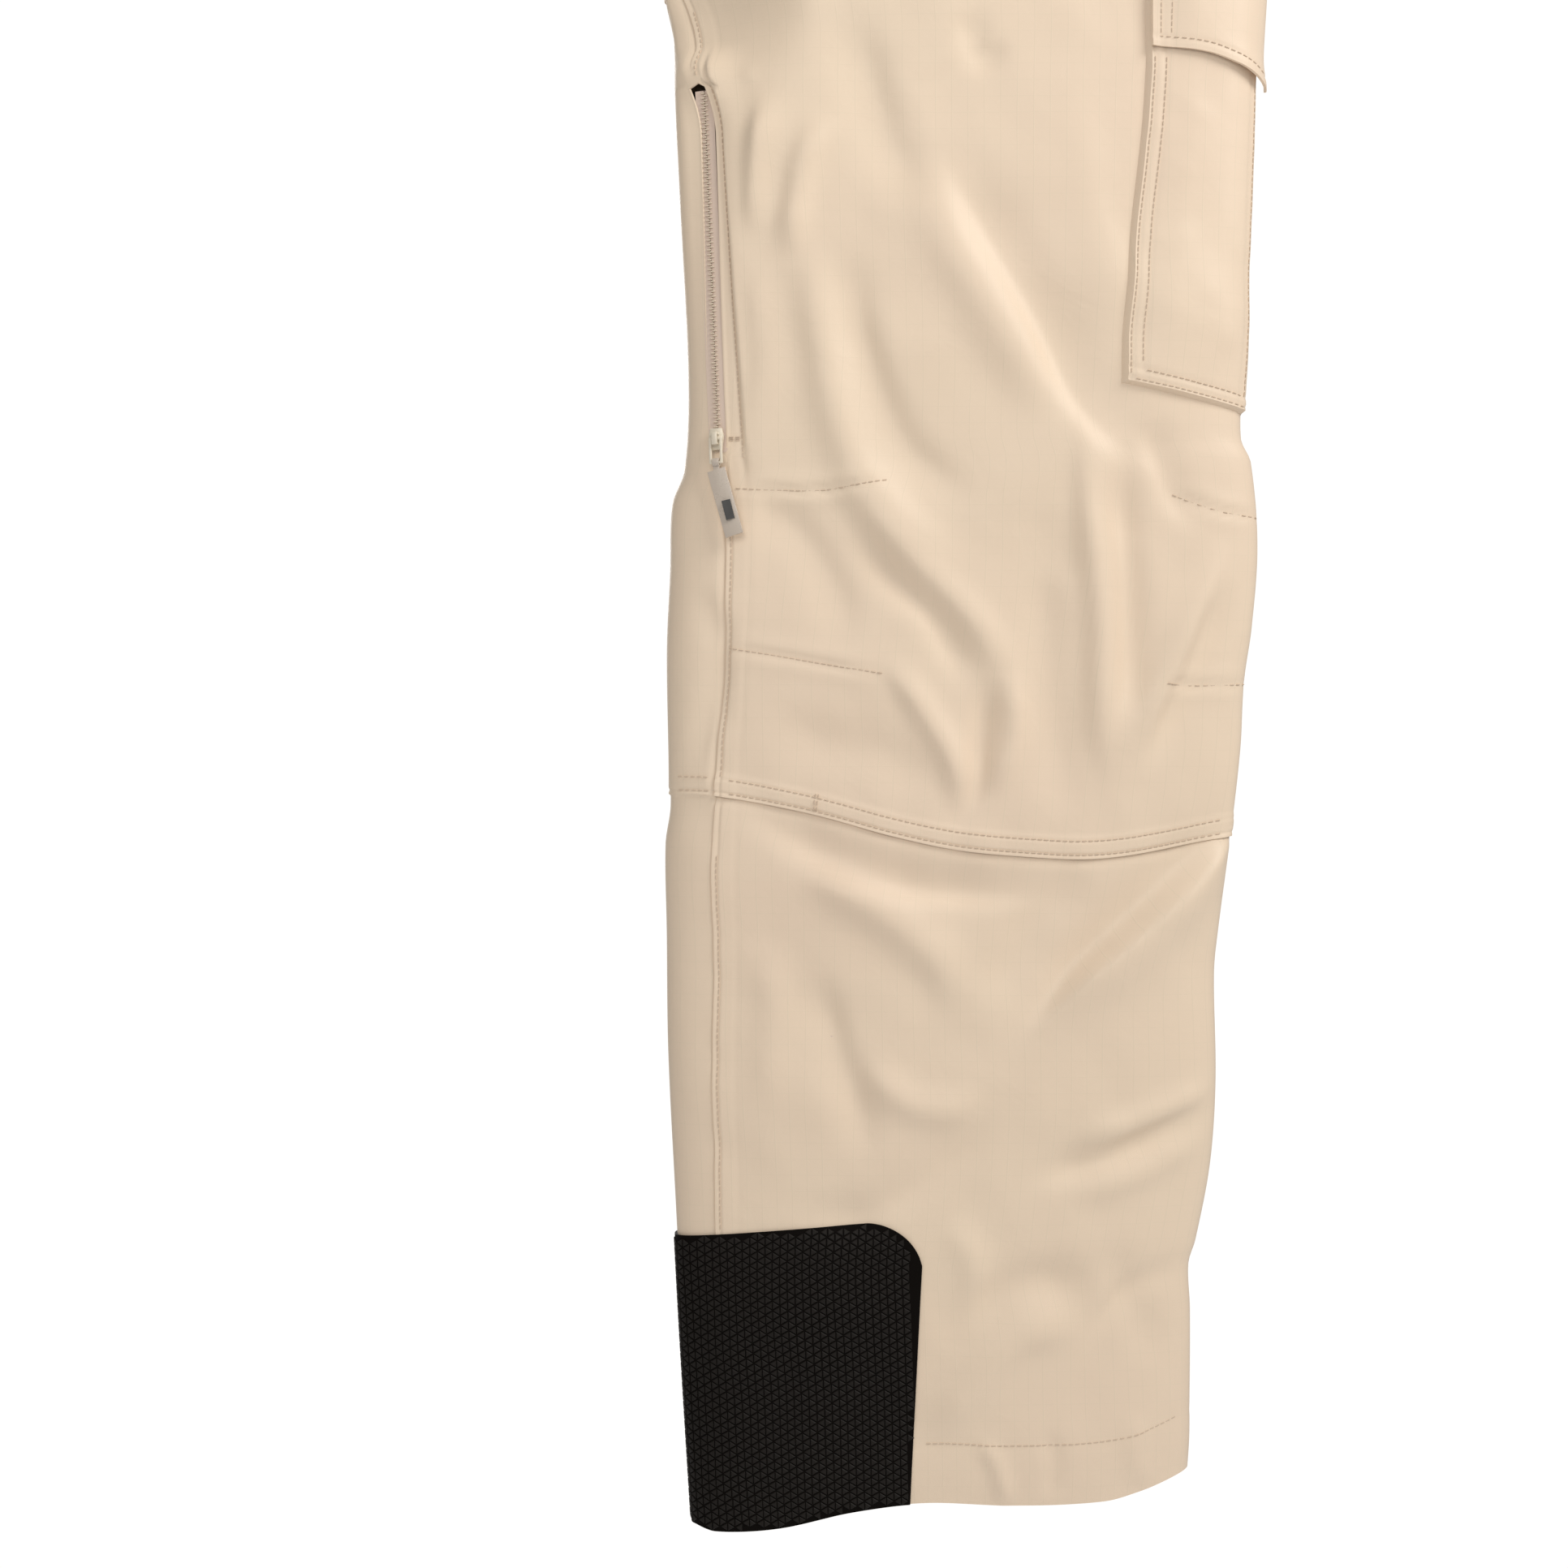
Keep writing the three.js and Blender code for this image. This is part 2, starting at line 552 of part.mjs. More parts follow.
function cargoPocket(half) {
  const bottom = (lift) => ({
    at: POCKET_BOTTOM,
    line: (x) => POCKET_BOTTOM + lift - POCKET_SLANT * clamp((x - POCKET_LEFT_X) / 65, 0, 1),
  });
  const outer = slab({
    from: () => pocketSide,
    to: (z) => angleAt(pocketLeft(z), z),
    low: bottom(0),
    high: level(POCKET_TOP),
    inner: POCKET_GAP,
    outer: (angle) => POCKET_GAP + pocketDepth(angle),
    columns: 14,
  });
  const hollow = slab({
    from: () => pocketSide * 3,
    to: (z) => angleAt(pocketLeft(z) + POCKET_WALL, z),
    low: bottom(POCKET_WALL),
    high: level(POCKET_TOP + 5),
    inner: POCKET_GAP + POCKET_WALL,
    outer: (angle) => POCKET_GAP + pocketDepth(angle) - POCKET_WALL,
    columns: 14,
  });
  const pouch = fromSolid(toSolid(outer).subtract(toSolid(hollow)));

  const over = (angle) => POCKET_GAP + pocketDepth(angle) + SNAP_THICK + 3 * PATCH_GAP;
  const hang = (z) => smoothstep(FLAP_TOP - z, 2, FLAP_TOP - POCKET_TOP - 2);
  const inside = (angle, z) => lerp(POCKET_GAP, over(angle), hang(z));
  const flap = slab({
    from: () => pocketSide,
    to: (z) => angleAt(pocketLeft(z) - 1, z),
    low: { at: POCKET_TOP, line: (x) => FLAP_TOP - FLAP_HEIGHT - FLAP_LIFT * smoothstep(x, 105, 150) },
    high: level(FLAP_TOP),
    inner: inside,
    outer: (angle, z) => inside(angle, z) + FLAP_THICK,
    columns: 10,
    rows: [...ROWS, POCKET_TOP + 2, POCKET_TOP + 9, POCKET_TOP + 16, FLAP_TOP - 4].sort((a, b) => a - b),
  });
  const hinge = wall(angleAt(SNAP_X, FLAP_TOP), FLAP_TOP, POCKET_GAP + FLAP_THICK);
  const flapPiece = piece(`${half}_cargo_flap`, 'shell', flap.translate(-hinge.x, -hinge.y, -hinge.z));
  flapPiece.position.copy(hinge);

  const snapZ = FLAP_TOP - FLAP_HEIGHT + 16;
  const snapOut = POCKET_GAP + pocketDepth(angleAt(SNAP_X, snapZ)) + PATCH_GAP;
  const seat = wall(angleAt(SNAP_X, snapZ), snapZ, snapOut);
  const holder = track(seat, seat.clone().setZ(snapZ + 1), outwardAt(SNAP_X, snapZ));
  const snap = new THREE.CylinderGeometry(SNAP_RADIUS, SNAP_RADIUS, SNAP_THICK, 20);
  snap.translate(0, SNAP_THICK / 2, 0);
  holder.add(piece(`${half}_cargo_snap`, 'snap', mergeVertices(snap)));
  return [piece(`${half}_cargo_pocket`, 'shell', pouch), flapPiece, holder];
}

function vent(half) {
  const end = COIL_CLEARANCE;
  const sink = COIL_PROUD - COIL_THICK;
  const foot = wall(angleAt(seamX(VENT_BOTTOM), VENT_BOTTOM), VENT_BOTTOM, sink).setZ(VENT_BOTTOM + end);
  const head = wall(angleAt(seamX(VENT_TOP), VENT_TOP), VENT_TOP, sink).setZ(VENT_TOP - end);
  const outward = outwardAt(seamX(VENT_BOTTOM), (VENT_BOTTOM + VENT_TOP) / 2);
  return zip(zipNames(`${half}_vent`), foot, head, outward, true);
}

function handPocket(half) {
  const headZ = HIP_TOP - 24;
  const footZ = headZ - HAND_ZIP_LENGTH;
  const headX = HAND_ZIP_X - HAND_ZIP_LEAN;
  const foot = wall(angleAt(HAND_ZIP_X, footZ), footZ, 2 * PATCH_GAP);
  const head = wall(angleAt(headX, headZ), headZ, 2 * PATCH_GAP);
  return zip(zipNames(`${half}_hand_pocket`), foot, head, new THREE.Vector3(0, -1, 0), false);
}

function waist(half) {
  const band = slab({
    from: () => FOLD_SLOT_ANGLE - Math.PI,
    to: () => foldSlot,
    low: level(HIP_TOP + SEAM_GAP / 2),
    high: level(WAIST_TOP),
    inner: -SHELL,
    outer: SHELL / 2,
    columns: 32,
  });
  const middle = (HIP_TOP + WAIST_TOP) / 2;
  const seat = wall(angleAt(TAB_X, middle), middle, SHELL / 2 + 3 * PATCH_GAP);
  const tabHolder = track(seat, seat.clone().setZ(middle + 1), new THREE.Vector3(0, -1, 0));
  const tab = new THREE.BoxGeometry(TAB_LENGTH, TAB_THICK, TAB_WIDTH).translate(0, TAB_THICK / 2, 0);
  tabHolder.add(piece(`${half}_waist_tab`, 'shell', tab));

  const loopOut = (z) => {
    const fromEnd = Math.min(z - HIP_TOP, WAIST_TOP - z);
    return SHELL / 2 + PATCH_GAP + LOOP_STANDOFF * smoothstep(fromEnd, 1, LOOP_END);
  };
  const beltLoop = (name, from, to) => piece(name, 'shell', slab({
    from,
    to,
    low: level(HIP_TOP + 1),
    high: level(WAIST_TOP - 1),
    inner: (_, z) => loopOut(z),
    outer: (_, z) => loopOut(z) + LOOP_THICK,
    columns: 2,
    rows: [HIP_TOP + LOOP_END, HIP_TOP + 2 * LOOP_END, WAIST_TOP - 2 * LOOP_END, WAIST_TOP - LOOP_END],
  }));
  const frontAt = (x) => (z) => angleAt(x, z);
  return [
    piece(`${half}_waistband`, 'shell', band),
    tabHolder,
    beltLoop(`${half}_belt_loop_front`, frontAt(LOOP_FRONT_X + LOOP_WIDTH), frontAt(LOOP_FRONT_X)),
    beltLoop(`${half}_belt_loop_side`, frontAt(LOOP_SIDE_X + LOOP_WIDTH), frontAt(LOOP_SIDE_X)),
  ];
}

function buildHalf(half) {
  const group = new THREE.Group();
  group.add(...panels(half), ...cuff(half), ...gaiter(half), ...cargoPocket(half));
  group.add(vent(half), handPocket(half), ...waist(half));
  return group;
}

// The fly belongs to the left half: shield behind, coil and slider in front, snap on the waistband
function fly() {
  const foot = wall(angleAt(FLY_X, FLY_FOOT), FLY_FOOT, 2 * PATCH_GAP);
  const head = wall(angleAt(FLY_X, FLY_TOP), FLY_TOP, 2 * PATCH_GAP);
  const middle = (FLY_FOOT + FLY_TOP) / 2;
  const group = new THREE.Group();
  group.add(zip(zipNames('fly'), foot, head, outwardAt(FLY_X, middle), false));
  group.add(piece('fly_shield', 'shell', slab({
    from: (z) => angleAt(FLY_X + SHIELD_WIDTH, z),
    to: (z) => angleAt(FLY_X - 2, z),
    low: level(FLY_FOOT),
    high: level(FLY_TOP),
    outer: -SHELL - SHIELD_GAP,
    inner: -SHELL - SHIELD_GAP - SHIELD_THICK,
    columns: 8,
  })));
  const snapZ = (HIP_TOP + WAIST_TOP) / 2;
  const seat = wall(angleAt(WAIST_SNAP_X, snapZ), snapZ, SHELL / 2 + 2 * PATCH_GAP);
  const holder = track(seat, seat.clone().setZ(snapZ + 1), outwardAt(WAIST_SNAP_X, snapZ));
  const snap = new THREE.CylinderGeometry(WAIST_SNAP_RADIUS, WAIST_SNAP_RADIUS, 2, 24).translate(0, 1, 0);
  holder.add(piece('waist_snap', 'snap', mergeVertices(snap)));
  group.add(holder);
  return group;
}

const leftHalf = buildHalf('left');
const rightHalf = buildHalf('right');
rightHalf.scale.y = -1;

const skiPants = new THREE.Group();
skiPants.add(leftHalf, rightHalf, fly());
skiPants.position.set(-(innerEdge(WAIST_TOP) + outerEdge(WAIST_TOP)) / 2, 0, -WAIST_TOP);

export default skiPants;
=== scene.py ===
"""Looks of a pair of cream ski pants that hang folded in half along the centre line."""

import math
import bpy
import numpy as np
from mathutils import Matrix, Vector


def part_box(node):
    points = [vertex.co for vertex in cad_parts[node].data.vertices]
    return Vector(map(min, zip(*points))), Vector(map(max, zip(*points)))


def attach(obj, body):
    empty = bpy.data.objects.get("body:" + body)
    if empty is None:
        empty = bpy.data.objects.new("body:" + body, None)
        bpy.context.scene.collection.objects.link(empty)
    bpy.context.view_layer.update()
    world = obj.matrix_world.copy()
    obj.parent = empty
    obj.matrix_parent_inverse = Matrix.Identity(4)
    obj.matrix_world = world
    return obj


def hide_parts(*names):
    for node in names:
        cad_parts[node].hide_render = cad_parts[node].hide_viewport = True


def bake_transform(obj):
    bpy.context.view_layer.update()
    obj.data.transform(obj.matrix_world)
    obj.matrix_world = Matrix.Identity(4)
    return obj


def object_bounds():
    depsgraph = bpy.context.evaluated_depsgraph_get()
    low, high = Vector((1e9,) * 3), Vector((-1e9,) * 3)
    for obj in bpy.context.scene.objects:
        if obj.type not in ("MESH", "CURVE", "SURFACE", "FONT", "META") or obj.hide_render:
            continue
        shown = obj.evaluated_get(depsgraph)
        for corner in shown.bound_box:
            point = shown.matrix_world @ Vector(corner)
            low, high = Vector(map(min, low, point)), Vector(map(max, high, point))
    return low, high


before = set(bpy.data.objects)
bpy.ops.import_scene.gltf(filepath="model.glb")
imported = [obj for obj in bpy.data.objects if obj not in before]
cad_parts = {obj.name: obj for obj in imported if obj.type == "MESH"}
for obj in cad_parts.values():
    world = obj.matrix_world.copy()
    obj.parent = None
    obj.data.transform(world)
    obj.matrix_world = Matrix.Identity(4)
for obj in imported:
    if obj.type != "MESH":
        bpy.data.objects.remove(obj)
cad_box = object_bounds()

# ---------------------------------------------------------------------------
# The garment's own frame: millimetres, heights from the lowest point of the hem
# ---------------------------------------------------------------------------

MM = 0.001
WAIST_TOP = 1065
WAISTBAND = 45
HIP_TOP = WAIST_TOP - WAISTBAND
CROTCH = 794
KNEE = 350
LEG_HALF_DEPTH = 22
WAIST_HALF_DEPTH = 15
FOLD_GAP = 2.35
SQUARENESS = 3
FOLD_PINCH = 0.2
FOLD_SLOT_ANGLE = 0.15
SLOT_HALF = 3.9
VENT_TOP = CROTCH - 65
VENT_BOTTOM = VENT_TOP - 187
POCKET_TOP = CROTCH - 8
POCKET_BOTTOM = POCKET_TOP - 216
FLAP_TOP = CROTCH + 18

waist_low, waist_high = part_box("left_waistband")
hem_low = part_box("left_shin_front")[0]
MIDDLE_X = -33.75 - 1000 * (waist_low.x + waist_high.x) / 2
HEM_Z = hem_low.z / MM


def to_row(points, side):
    """Garment millimetres on the left half to metres in the row frame; side -1 is left, 1 is right."""
    p = np.asarray(points, float)
    out = np.empty_like(p)
    out[..., 0] = (p[..., 0] - MIDDLE_X) * MM
    out[..., 1] = -side * p[..., 1] * MM
    out[..., 2] = (p[..., 2] + HEM_Z) * MM
    return out


def ease(v, low, high):
    t = np.clip((np.asarray(v, float) - low) / (high - low), 0, 1)
    return t * t * (3 - 2 * t)


def mix(a, b, t):
    return a + (b - a) * t


def line_through(points):
    """A smooth line through a few points (place, value)."""
    places = np.array([p[0] for p in points], float)
    values = np.array([p[1] for p in points], float)
    slopes = np.empty_like(values)
    slopes[1:-1] = (values[2:] - values[:-2]) / (places[2:] - places[:-2])
    slopes[0] = (values[1] - values[0]) / (places[1] - places[0])
    slopes[-1] = (values[-1] - values[-2]) / (places[-1] - places[-2])

    def at(where):
        w = np.clip(np.asarray(where, float), places[0], places[-1])
        k = np.clip(np.searchsorted(places, w, side="right") - 1, 0, len(places) - 2)
        span = places[k + 1] - places[k]
        t = (w - places[k]) / span
        flat = mix(values[k], values[k + 1], t * t * (3 - 2 * t))
        return flat + span * t * (1 - t) * ((1 - t) * slopes[k] - t * slopes[k + 1])

    return at


inner_edge = line_through([
    (0, -136.5), (98, -142.5), (160, -145.8), (240, -149.8), (302, -150.6), (346, -151.2), (366, -148.6),
    (444, -149.4), (485, -147.7), (519, -146.5), (536, -140.4), (582, -138.4), (668, -142.5), (729, -145.5),
    (760, -146.5), (CROTCH, -152.5), (WAIST_TOP, -152.5),
])
outer_edge = line_through([
    (0, 112.5), (59, 114.8), (110, 115.2), (133, 114.4), (145, 118), (184, 125.4), (226, 128.2), (281, 127.4),
    (302, 129.4), (352, 136), (395, 140.8), (428, 142.5), (456, 146.5), (497, 149.4), (540, 146), (552, 141),
    (586, 142), (672, 144), (725, 146), (CROTCH, 149), (862, 150), (941, 125), (HIP_TOP, 85), (WAIST_TOP, 85),
])
half_depth = line_through([
    (0, LEG_HALF_DEPTH), (CROTCH, LEG_HALF_DEPTH), (HIP_TOP, WAIST_HALF_DEPTH), (WAIST_TOP, WAIST_HALF_DEPTH),
])
seam_inset = line_through([
    (0, 17), (150, 20), (280, 24), (373, 23), (445, 29), (497, 29), (541, 17.5), (729, 11.7),
    (780, 9), (CROTCH, 1),
])
hem_line = line_through([
    (-136, 2.4), (-126, 0), (-94, 2.8), (-57, 11.4), (-20, 16), (20, 15), (69, 16.7), (90, 21.6), (113, 30),
])
knee_line = line_through([
    (-150, 372), (-125, 371), (-77, 361.8), (-37, 351), (-4, 344), (30, 340.7), (64, 339.4), (98, 343.5),
    (135, 350.8),
])


def always(value):
    """A line at one level."""
    return lambda x: np.full(np.shape(x), float(value))


def shifted(line, by):
    return lambda x: line(x) + by


def power(value, exponent):
    return np.sign(value) * np.abs(value) ** exponent


def wall(angle, z, out=0.0):
    """A point of the left half, at an angle, a height and a distance outside its tube.

    Angle 0 is the outer edge, a quarter turn the front, half a turn the inner edge.
    """
    angle, z, out = np.broadcast_arrays(*(np.asarray(v, float) for v in (angle, z, out)))
    inner, outer = inner_edge(z), outer_edge(z)
    across = power(np.cos(angle), 2 / SQUARENESS)
    turn = power(np.sin(angle), 2 / SQUARENESS)
    pinch = mix(1, FOLD_PINCH, ease(z, CROTCH - 90, CROTCH))
    depth = half_depth(z) * mix(pinch, 1, ease(across, -1, -0.5))
    x = (inner + outer) / 2 + ((outer - inner) / 2 + out) * across
    return np.stack([x, -FOLD_GAP - depth - (depth + out) * turn, z], axis=-1)


def angle_at(x, z):
    inner, outer = inner_edge(z), outer_edge(z)
    across = np.clip((2 * np.asarray(x, float) - inner - outer) / (outer - inner), -1, 1)
    return np.arccos(power(across, SQUARENESS / 2))


# Arc length round the section, so that columns of a panel are evenly spaced
TURN = 2 * math.pi
MEAN_HALF_WIDTH = 145
_angles = np.linspace(-math.pi, TURN + math.pi, 12001)
_ring = np.stack([
    MEAN_HALF_WIDTH * power(np.cos(_angles), 2 / SQUARENESS),
    LEG_HALF_DEPTH * power(np.sin(_angles), 2 / SQUARENESS),
], 1)
_lengths = np.concatenate([[0], np.cumsum(np.linalg.norm(np.diff(_ring, axis=0), axis=1))])


def spaced(start, end, part):
    """The angle at a share of the way round from one angle to another."""
    a, b = np.interp(start, _angles, _lengths), np.interp(end, _angles, _lengths)
    return np.interp(mix(a, b, part), _lengths, _angles)


LOW_END_X = float(inner_edge(VENT_BOTTOM) + seam_inset(VENT_BOTTOM))
lower_seam = line_through([
    (0, -123.4), (149, -125.2), (281, -126.4), (373, -124.8), (445, -120.8), (497, -119.4),
    (VENT_BOTTOM, LOW_END_X),
])


def seam_x(z):
    free = np.where(z < VENT_BOTTOM, lower_seam(z), inner_edge(z) + seam_inset(z))
    high = inner_edge(VENT_TOP) + seam_inset(VENT_TOP)
    straight = mix(LOW_END_X, high, (z - VENT_BOTTOM) / (VENT_TOP - VENT_BOTTOM))
    return np.where((z > VENT_BOTTOM) & (z < VENT_TOP), straight, free)


def slot_half(z):
    return SLOT_HALF * ease(z, VENT_BOTTOM - 3, VENT_BOTTOM + 6) * ease(-z, -VENT_TOP - 3.4, -VENT_TOP - 0.4)


# ---------------------------------------------------------------------------
# Folds of the cloth
# ---------------------------------------------------------------------------

def smooth_path(points, count=24):
    p = np.asarray(points, float)
    steps = np.concatenate([[0], np.cumsum(np.linalg.norm(np.diff(p, axis=0), axis=1))])
    at = np.linspace(0, steps[-1], count)
    if len(points) == 2:
        return np.stack([np.interp(at, steps, p[:, k]) for k in range(2)], 1)
    return np.stack([line_through(list(zip(steps, p[:, k])))(at) for k in range(2)], 1)


def fold(x, z, height, points, height_mm, width, far_width=None):
    """Adds a ridge, or with a negative height a valley, along a path; the far side is on its left."""
    far_width = far_width or width
    path = smooth_path(points)
    reach = 2.6 * max(width, far_width)
    low, high = path.min(0) - reach, path.max(0) + reach
    near = (x > low[0]) & (x < high[0]) & (z > low[1]) & (z < high[1])
    if not near.any():
        return
    px, pz = x[near], z[near]
    best = np.full(px.shape, 1e9)
    side = np.zeros(px.shape)
    where = np.zeros(px.shape)
    count = len(path) - 1
    for k in range(count):
        step = path[k + 1] - path[k]
        t = np.clip(((px - path[k][0]) * step[0] + (pz - path[k][1]) * step[1]) / (step @ step), 0, 1)
        dx, dz = px - path[k][0] - t * step[0], pz - path[k][1] - t * step[1]
        distance = np.hypot(dx, dz)
        nearer = distance < best
        best = np.where(nearer, distance, best)
        side = np.where(nearer, step[0] * dz - step[1] * dx, side)
        where = np.where(nearer, (k + t) / count, where)
    sigma = np.where(side > 0, far_width, width)
    taper = ease(where, -0.05, 0.3) * ease(1 - where, -0.05, 0.3)
    height[near] += height_mm * taper * np.exp(-(best / sigma) ** 2)


# Each fold: its path (x, z), height, width on its right-hand side and width on its left-hand side
THIGH_FOLDS = [
    ([(-67, 712), (-78, 692), (-84, 664), (-86, 640)], 3.4, 9, 6),
    ([(-96, 724), (-104, 696), (-108, 668), (-104, 650)], 3.0, 7, 9),
    ([(-130, 742), (-116, 734), (-104, 736)], 2.2, 5, 5),
    ([(-60, 770), (-50, 735), (-42, 700), (-20, 668)], -2.6, 16, 12),
    ([(0, 765), (8, 742), (22, 748)], -2.0, 8, 8),
    ([(-12, 700), (10, 655), (36, 612), (56, 574), (78, 548), (102, 541)], -4.6, 9, 20),
    ([(-28, 690), (-4, 640), (22, 596), (44, 560)], 3.2, 13, 16),
    ([(60, 560), (59, 542), (61, 505), (66, 460), (67, 410), (75, 372)], 4.6, 6, 16),
    ([(78, 550), (82, 500), (84, 450), (83, 396)], -4.0, 12, 7),
    ([(132, 497), (112, 462), (97, 428), (78, 392)], 3.6, 7, 8),
    ([(136, 478), (120, 440), (104, 404), (92, 380)], -3.0, 8, 7),
    ([(-80, 655), (-70, 600), (-58, 545), (-36, 515), (2, 482)], 3.4, 12, 9),
    ([(-60, 640), (-50, 590), (-30, 545), (6, 515)], -3.2, 12, 10),
    ([(-66, 532), (-44, 508), (-24, 486), (8, 452), (24, 420)], 3.4, 8, 10),
    ([(-58, 505), (-38, 480), (-16, 460), (4, 420)], -3.0, 8, 9),
    ([(-112, 520), (-84, 500), (-66, 470), (-58, 440)], -2.2, 12, 10),
    ([(-40, 440), (-22, 414), (-6, 386), (2, 358)], 3.6, 6, 8),
    ([(12, 430), (8, 402), (4, 372), (-6, 354)], -3.2, 7, 6),
    ([(22, 434), (24, 400), (14, 370)], 2.6, 7, 6),
    ([(-100, 415), (-74, 398), (-40, 390), (-14, 372)], -2.0, 14, 12),
    ([(-134, 480), (-124, 440), (-132, 400), (-138, 380)], -2.0, 7, 7),
    ([(40, 500), (40, 450), (46, 400), (54, 360)], -2.2, 12, 10),
    ([(92, 560), (108, 520), (124, 508)], -2.6, 8, 9),
    ([(48, 720), (60, 680), (70, 640), (76, 600)], 1.8, 14, 12),
    ([(-110, 640), (-100, 600), (-96, 560)], 1.6, 12, 10),
    ([(30, 850), (40, 810), (64, 780)], -2.6, 12, 14),
    ([(-90, 880), (-60, 830), (-50, 780)], 3.0, 16, 14),
    ([(-20, 960), (0, 900), (10, 830)], -2.4, 22, 18),
]
SHIN_FOLDS = [
    ([(-112, 366), (-75, 342), (-38, 327), (10, 322), (44, 324)], -4.2, 7, 13),
    ([(-84, 334), (-48, 316), (-18, 292), (0, 262)], 4.0, 10, 13),
    ([(158, 368), (104, 319), (80, 297), (57, 277), (34, 250)], 6.2, 2.0, 18),
    ([(154, 374), (100, 325), (76, 303), (53, 282), (30, 255)], -4.8, 17, 2.4),
    ([(64, 332), (40, 312), (24, 288), (4, 270)], -2.8, 12, 12),
    ([(130, 226), (108, 216), (84, 206), (56, 196)], 3.4, 7, 6),
    ([(128, 214), (104, 202), (76, 190), (30, 178)], -3.0, 9, 7),
    ([(124, 204), (92, 182), (48, 168)], 2.2, 9, 7),
    ([(-76, 282), (-66, 246), (-54, 212), (-50, 190)], -3.2, 11, 9),
    ([(-50, 236), (-34, 220), (-14, 212), (8, 220)], 2.8, 8, 9),
    ([(-92, 166), (-60, 160), (-30, 172), (-8, 190), (16, 214)], -2.6, 10, 10),
    ([(-100, 300), (-96, 260), (-100, 210)], 1.8, 10, 9),
    ([(-20, 44), (2, 72), (26, 98), (62, 104)], 3.4, 9, 12),
    ([(-14, 92), (10, 118), (44, 128), (70, 116)], -3.0, 12, 10),
    ([(70, 150), (84, 120), (100, 84)], -2.0, 11, 10),
    ([(-8, 160), (4, 130), (-2, 96)], 2.0, 8, 8),
    ([(112, 134), (84, 122), (62, 98)], -2.2, 7, 6),
    ([(6, 48), (14, 36), (20, 14)], 2.0, 3.5, 5),
    ([(40, 54), (44, 36), (40, 18)], -1.4, 5, 5),
    ([(86, 60), (84, 40), (92, 22)], 1.4, 6, 6),
]


FOLD_RISE = 1.15
FOLD_SPREAD = 1.0


def noise_field(x, z, cell, seed):
    """Smooth value noise, from -1 to 1."""
    rng = np.random.default_rng(seed)
    table = rng.uniform(-1, 1, (64, 64))
    u, v = x / cell + 17.3, z / cell + 5.9
    i, j = np.floor(u).astype(int), np.floor(v).astype(int)
    fu, fv = ease(u - i, 0, 1), ease(v - j, 0, 1)
    a, b = table[i % 64, j % 64], table[(i + 1) % 64, j % 64]
    c, d = table[i % 64, (j + 1) % 64], table[(i + 1) % 64, (j + 1) % 64]
    return mix(mix(a, b, fu), mix(c, d, fu), fv)


def creases(x, z, cell, seed):
    """Crumple: sharp valleys between soft cushions, from about -1 to 0."""
    return np.abs(noise_field(x, z, cell, seed)) ** 0.8 - 1


# Places where the cloth lies calm, under hardware: centre, half width and half height
CALM = [(-127, 640, 16, 120), (-122, 515, 14, 34), (52, 930, 34, 90), (-140, 930, 16, 100)]


def cloth_height(x, z, face, side):
    """How far the cloth stands out at a place; face is 1 on the front, 0 at the edges, -1 at the back."""
    height = np.zeros(x.shape)
    slant = x * 0.86 + z * 0.5
    across = -x * 0.5 + z * 0.86
    seed = 11 if side < 0 else 29
    front = np.zeros(x.shape)
    if side < 0:
        for path, rise, width, far in THIGH_FOLDS + SHIN_FOLDS:
            fold(x, z, front, path, rise * FOLD_RISE, width * FOLD_SPREAD, far * FOLD_SPREAD)
    else:
        for path, rise, width, far in THIGH_FOLDS + SHIN_FOLDS:
            moved = [(-px * 0.92 - 4, pz + 14) for px, pz in path]
            fold(x, z, front, moved, rise * 0.8, far, width)
    back = 2.6 * noise_field(slant * 1.7, across * 0.7, 46, seed + 5)
    height += np.where(face > 0, front, back)
    height += 1.5 * noise_field(slant, across * 1.6, 70, seed)
    height += 0.6 * noise_field(slant * 1.5, across, 27, seed + 1)
    height += 0.3 * creases(slant, across * 1.3, 17, seed + 2) * ease(noise_field(x, z, 60, seed + 3), 0, 0.8)
    for cx, cz, wide, high in CALM:
        near = ease(1 - np.abs(x - cx) / (wide * 1.6), 0, 0.5)
        near = near * ease(1 - np.abs(z - cz) / (high * 1.3), 0, 0.3)
        height *= 1 - 0.92 * near * (face > 0)
    return height * ease(np.abs(face), 0.05, 0.75) * ease(HIP_TOP - z, -4, 34)


def surface(angle, z, out, side):
    """The draped cloth, in garment millimetres on the left half."""
    base = wall(angle, z)
    face = np.sin(angle)
    return wall(angle, z, out + cloth_height(base[..., 0], base[..., 2], face, side))


# ---------------------------------------------------------------------------
# Meshes
# ---------------------------------------------------------------------------

def new_object(name, vertices, faces, material, uv=None, smooth=True):
    mesh = bpy.data.meshes.new(name)
    mesh.from_pydata([tuple(v) for v in vertices], [], faces)
    if uv is not None:
        layer = mesh.uv_layers.new(name="UVMap")
        index = np.empty(len(mesh.loops), np.int32)
        mesh.loops.foreach_get("vertex_index", index)
        layer.data.foreach_set("uv", uv[index].astype(np.float32).ravel())
    mesh.polygons.foreach_set("use_smooth", [smooth] * len(mesh.polygons))
    mesh.materials.append(material)
    mesh.validate()
    mesh.update()
    if smooth:
        mesh.set_sharp_from_angle(angle=math.radians(50))
    thing = bpy.data.objects.new(name, mesh)
    bpy.context.scene.collection.objects.link(thing)
    return thing


def signed_volume(points, faces):
    total = 0.0
    for face in faces:
        a, b, c = points[face[0]], points[face[1]], points[face[2]]
        total += np.dot(a, np.cross(b, c))
        if len(face) == 4:
            total += np.dot(a, np.cross(c, points[face[3]]))
    return total


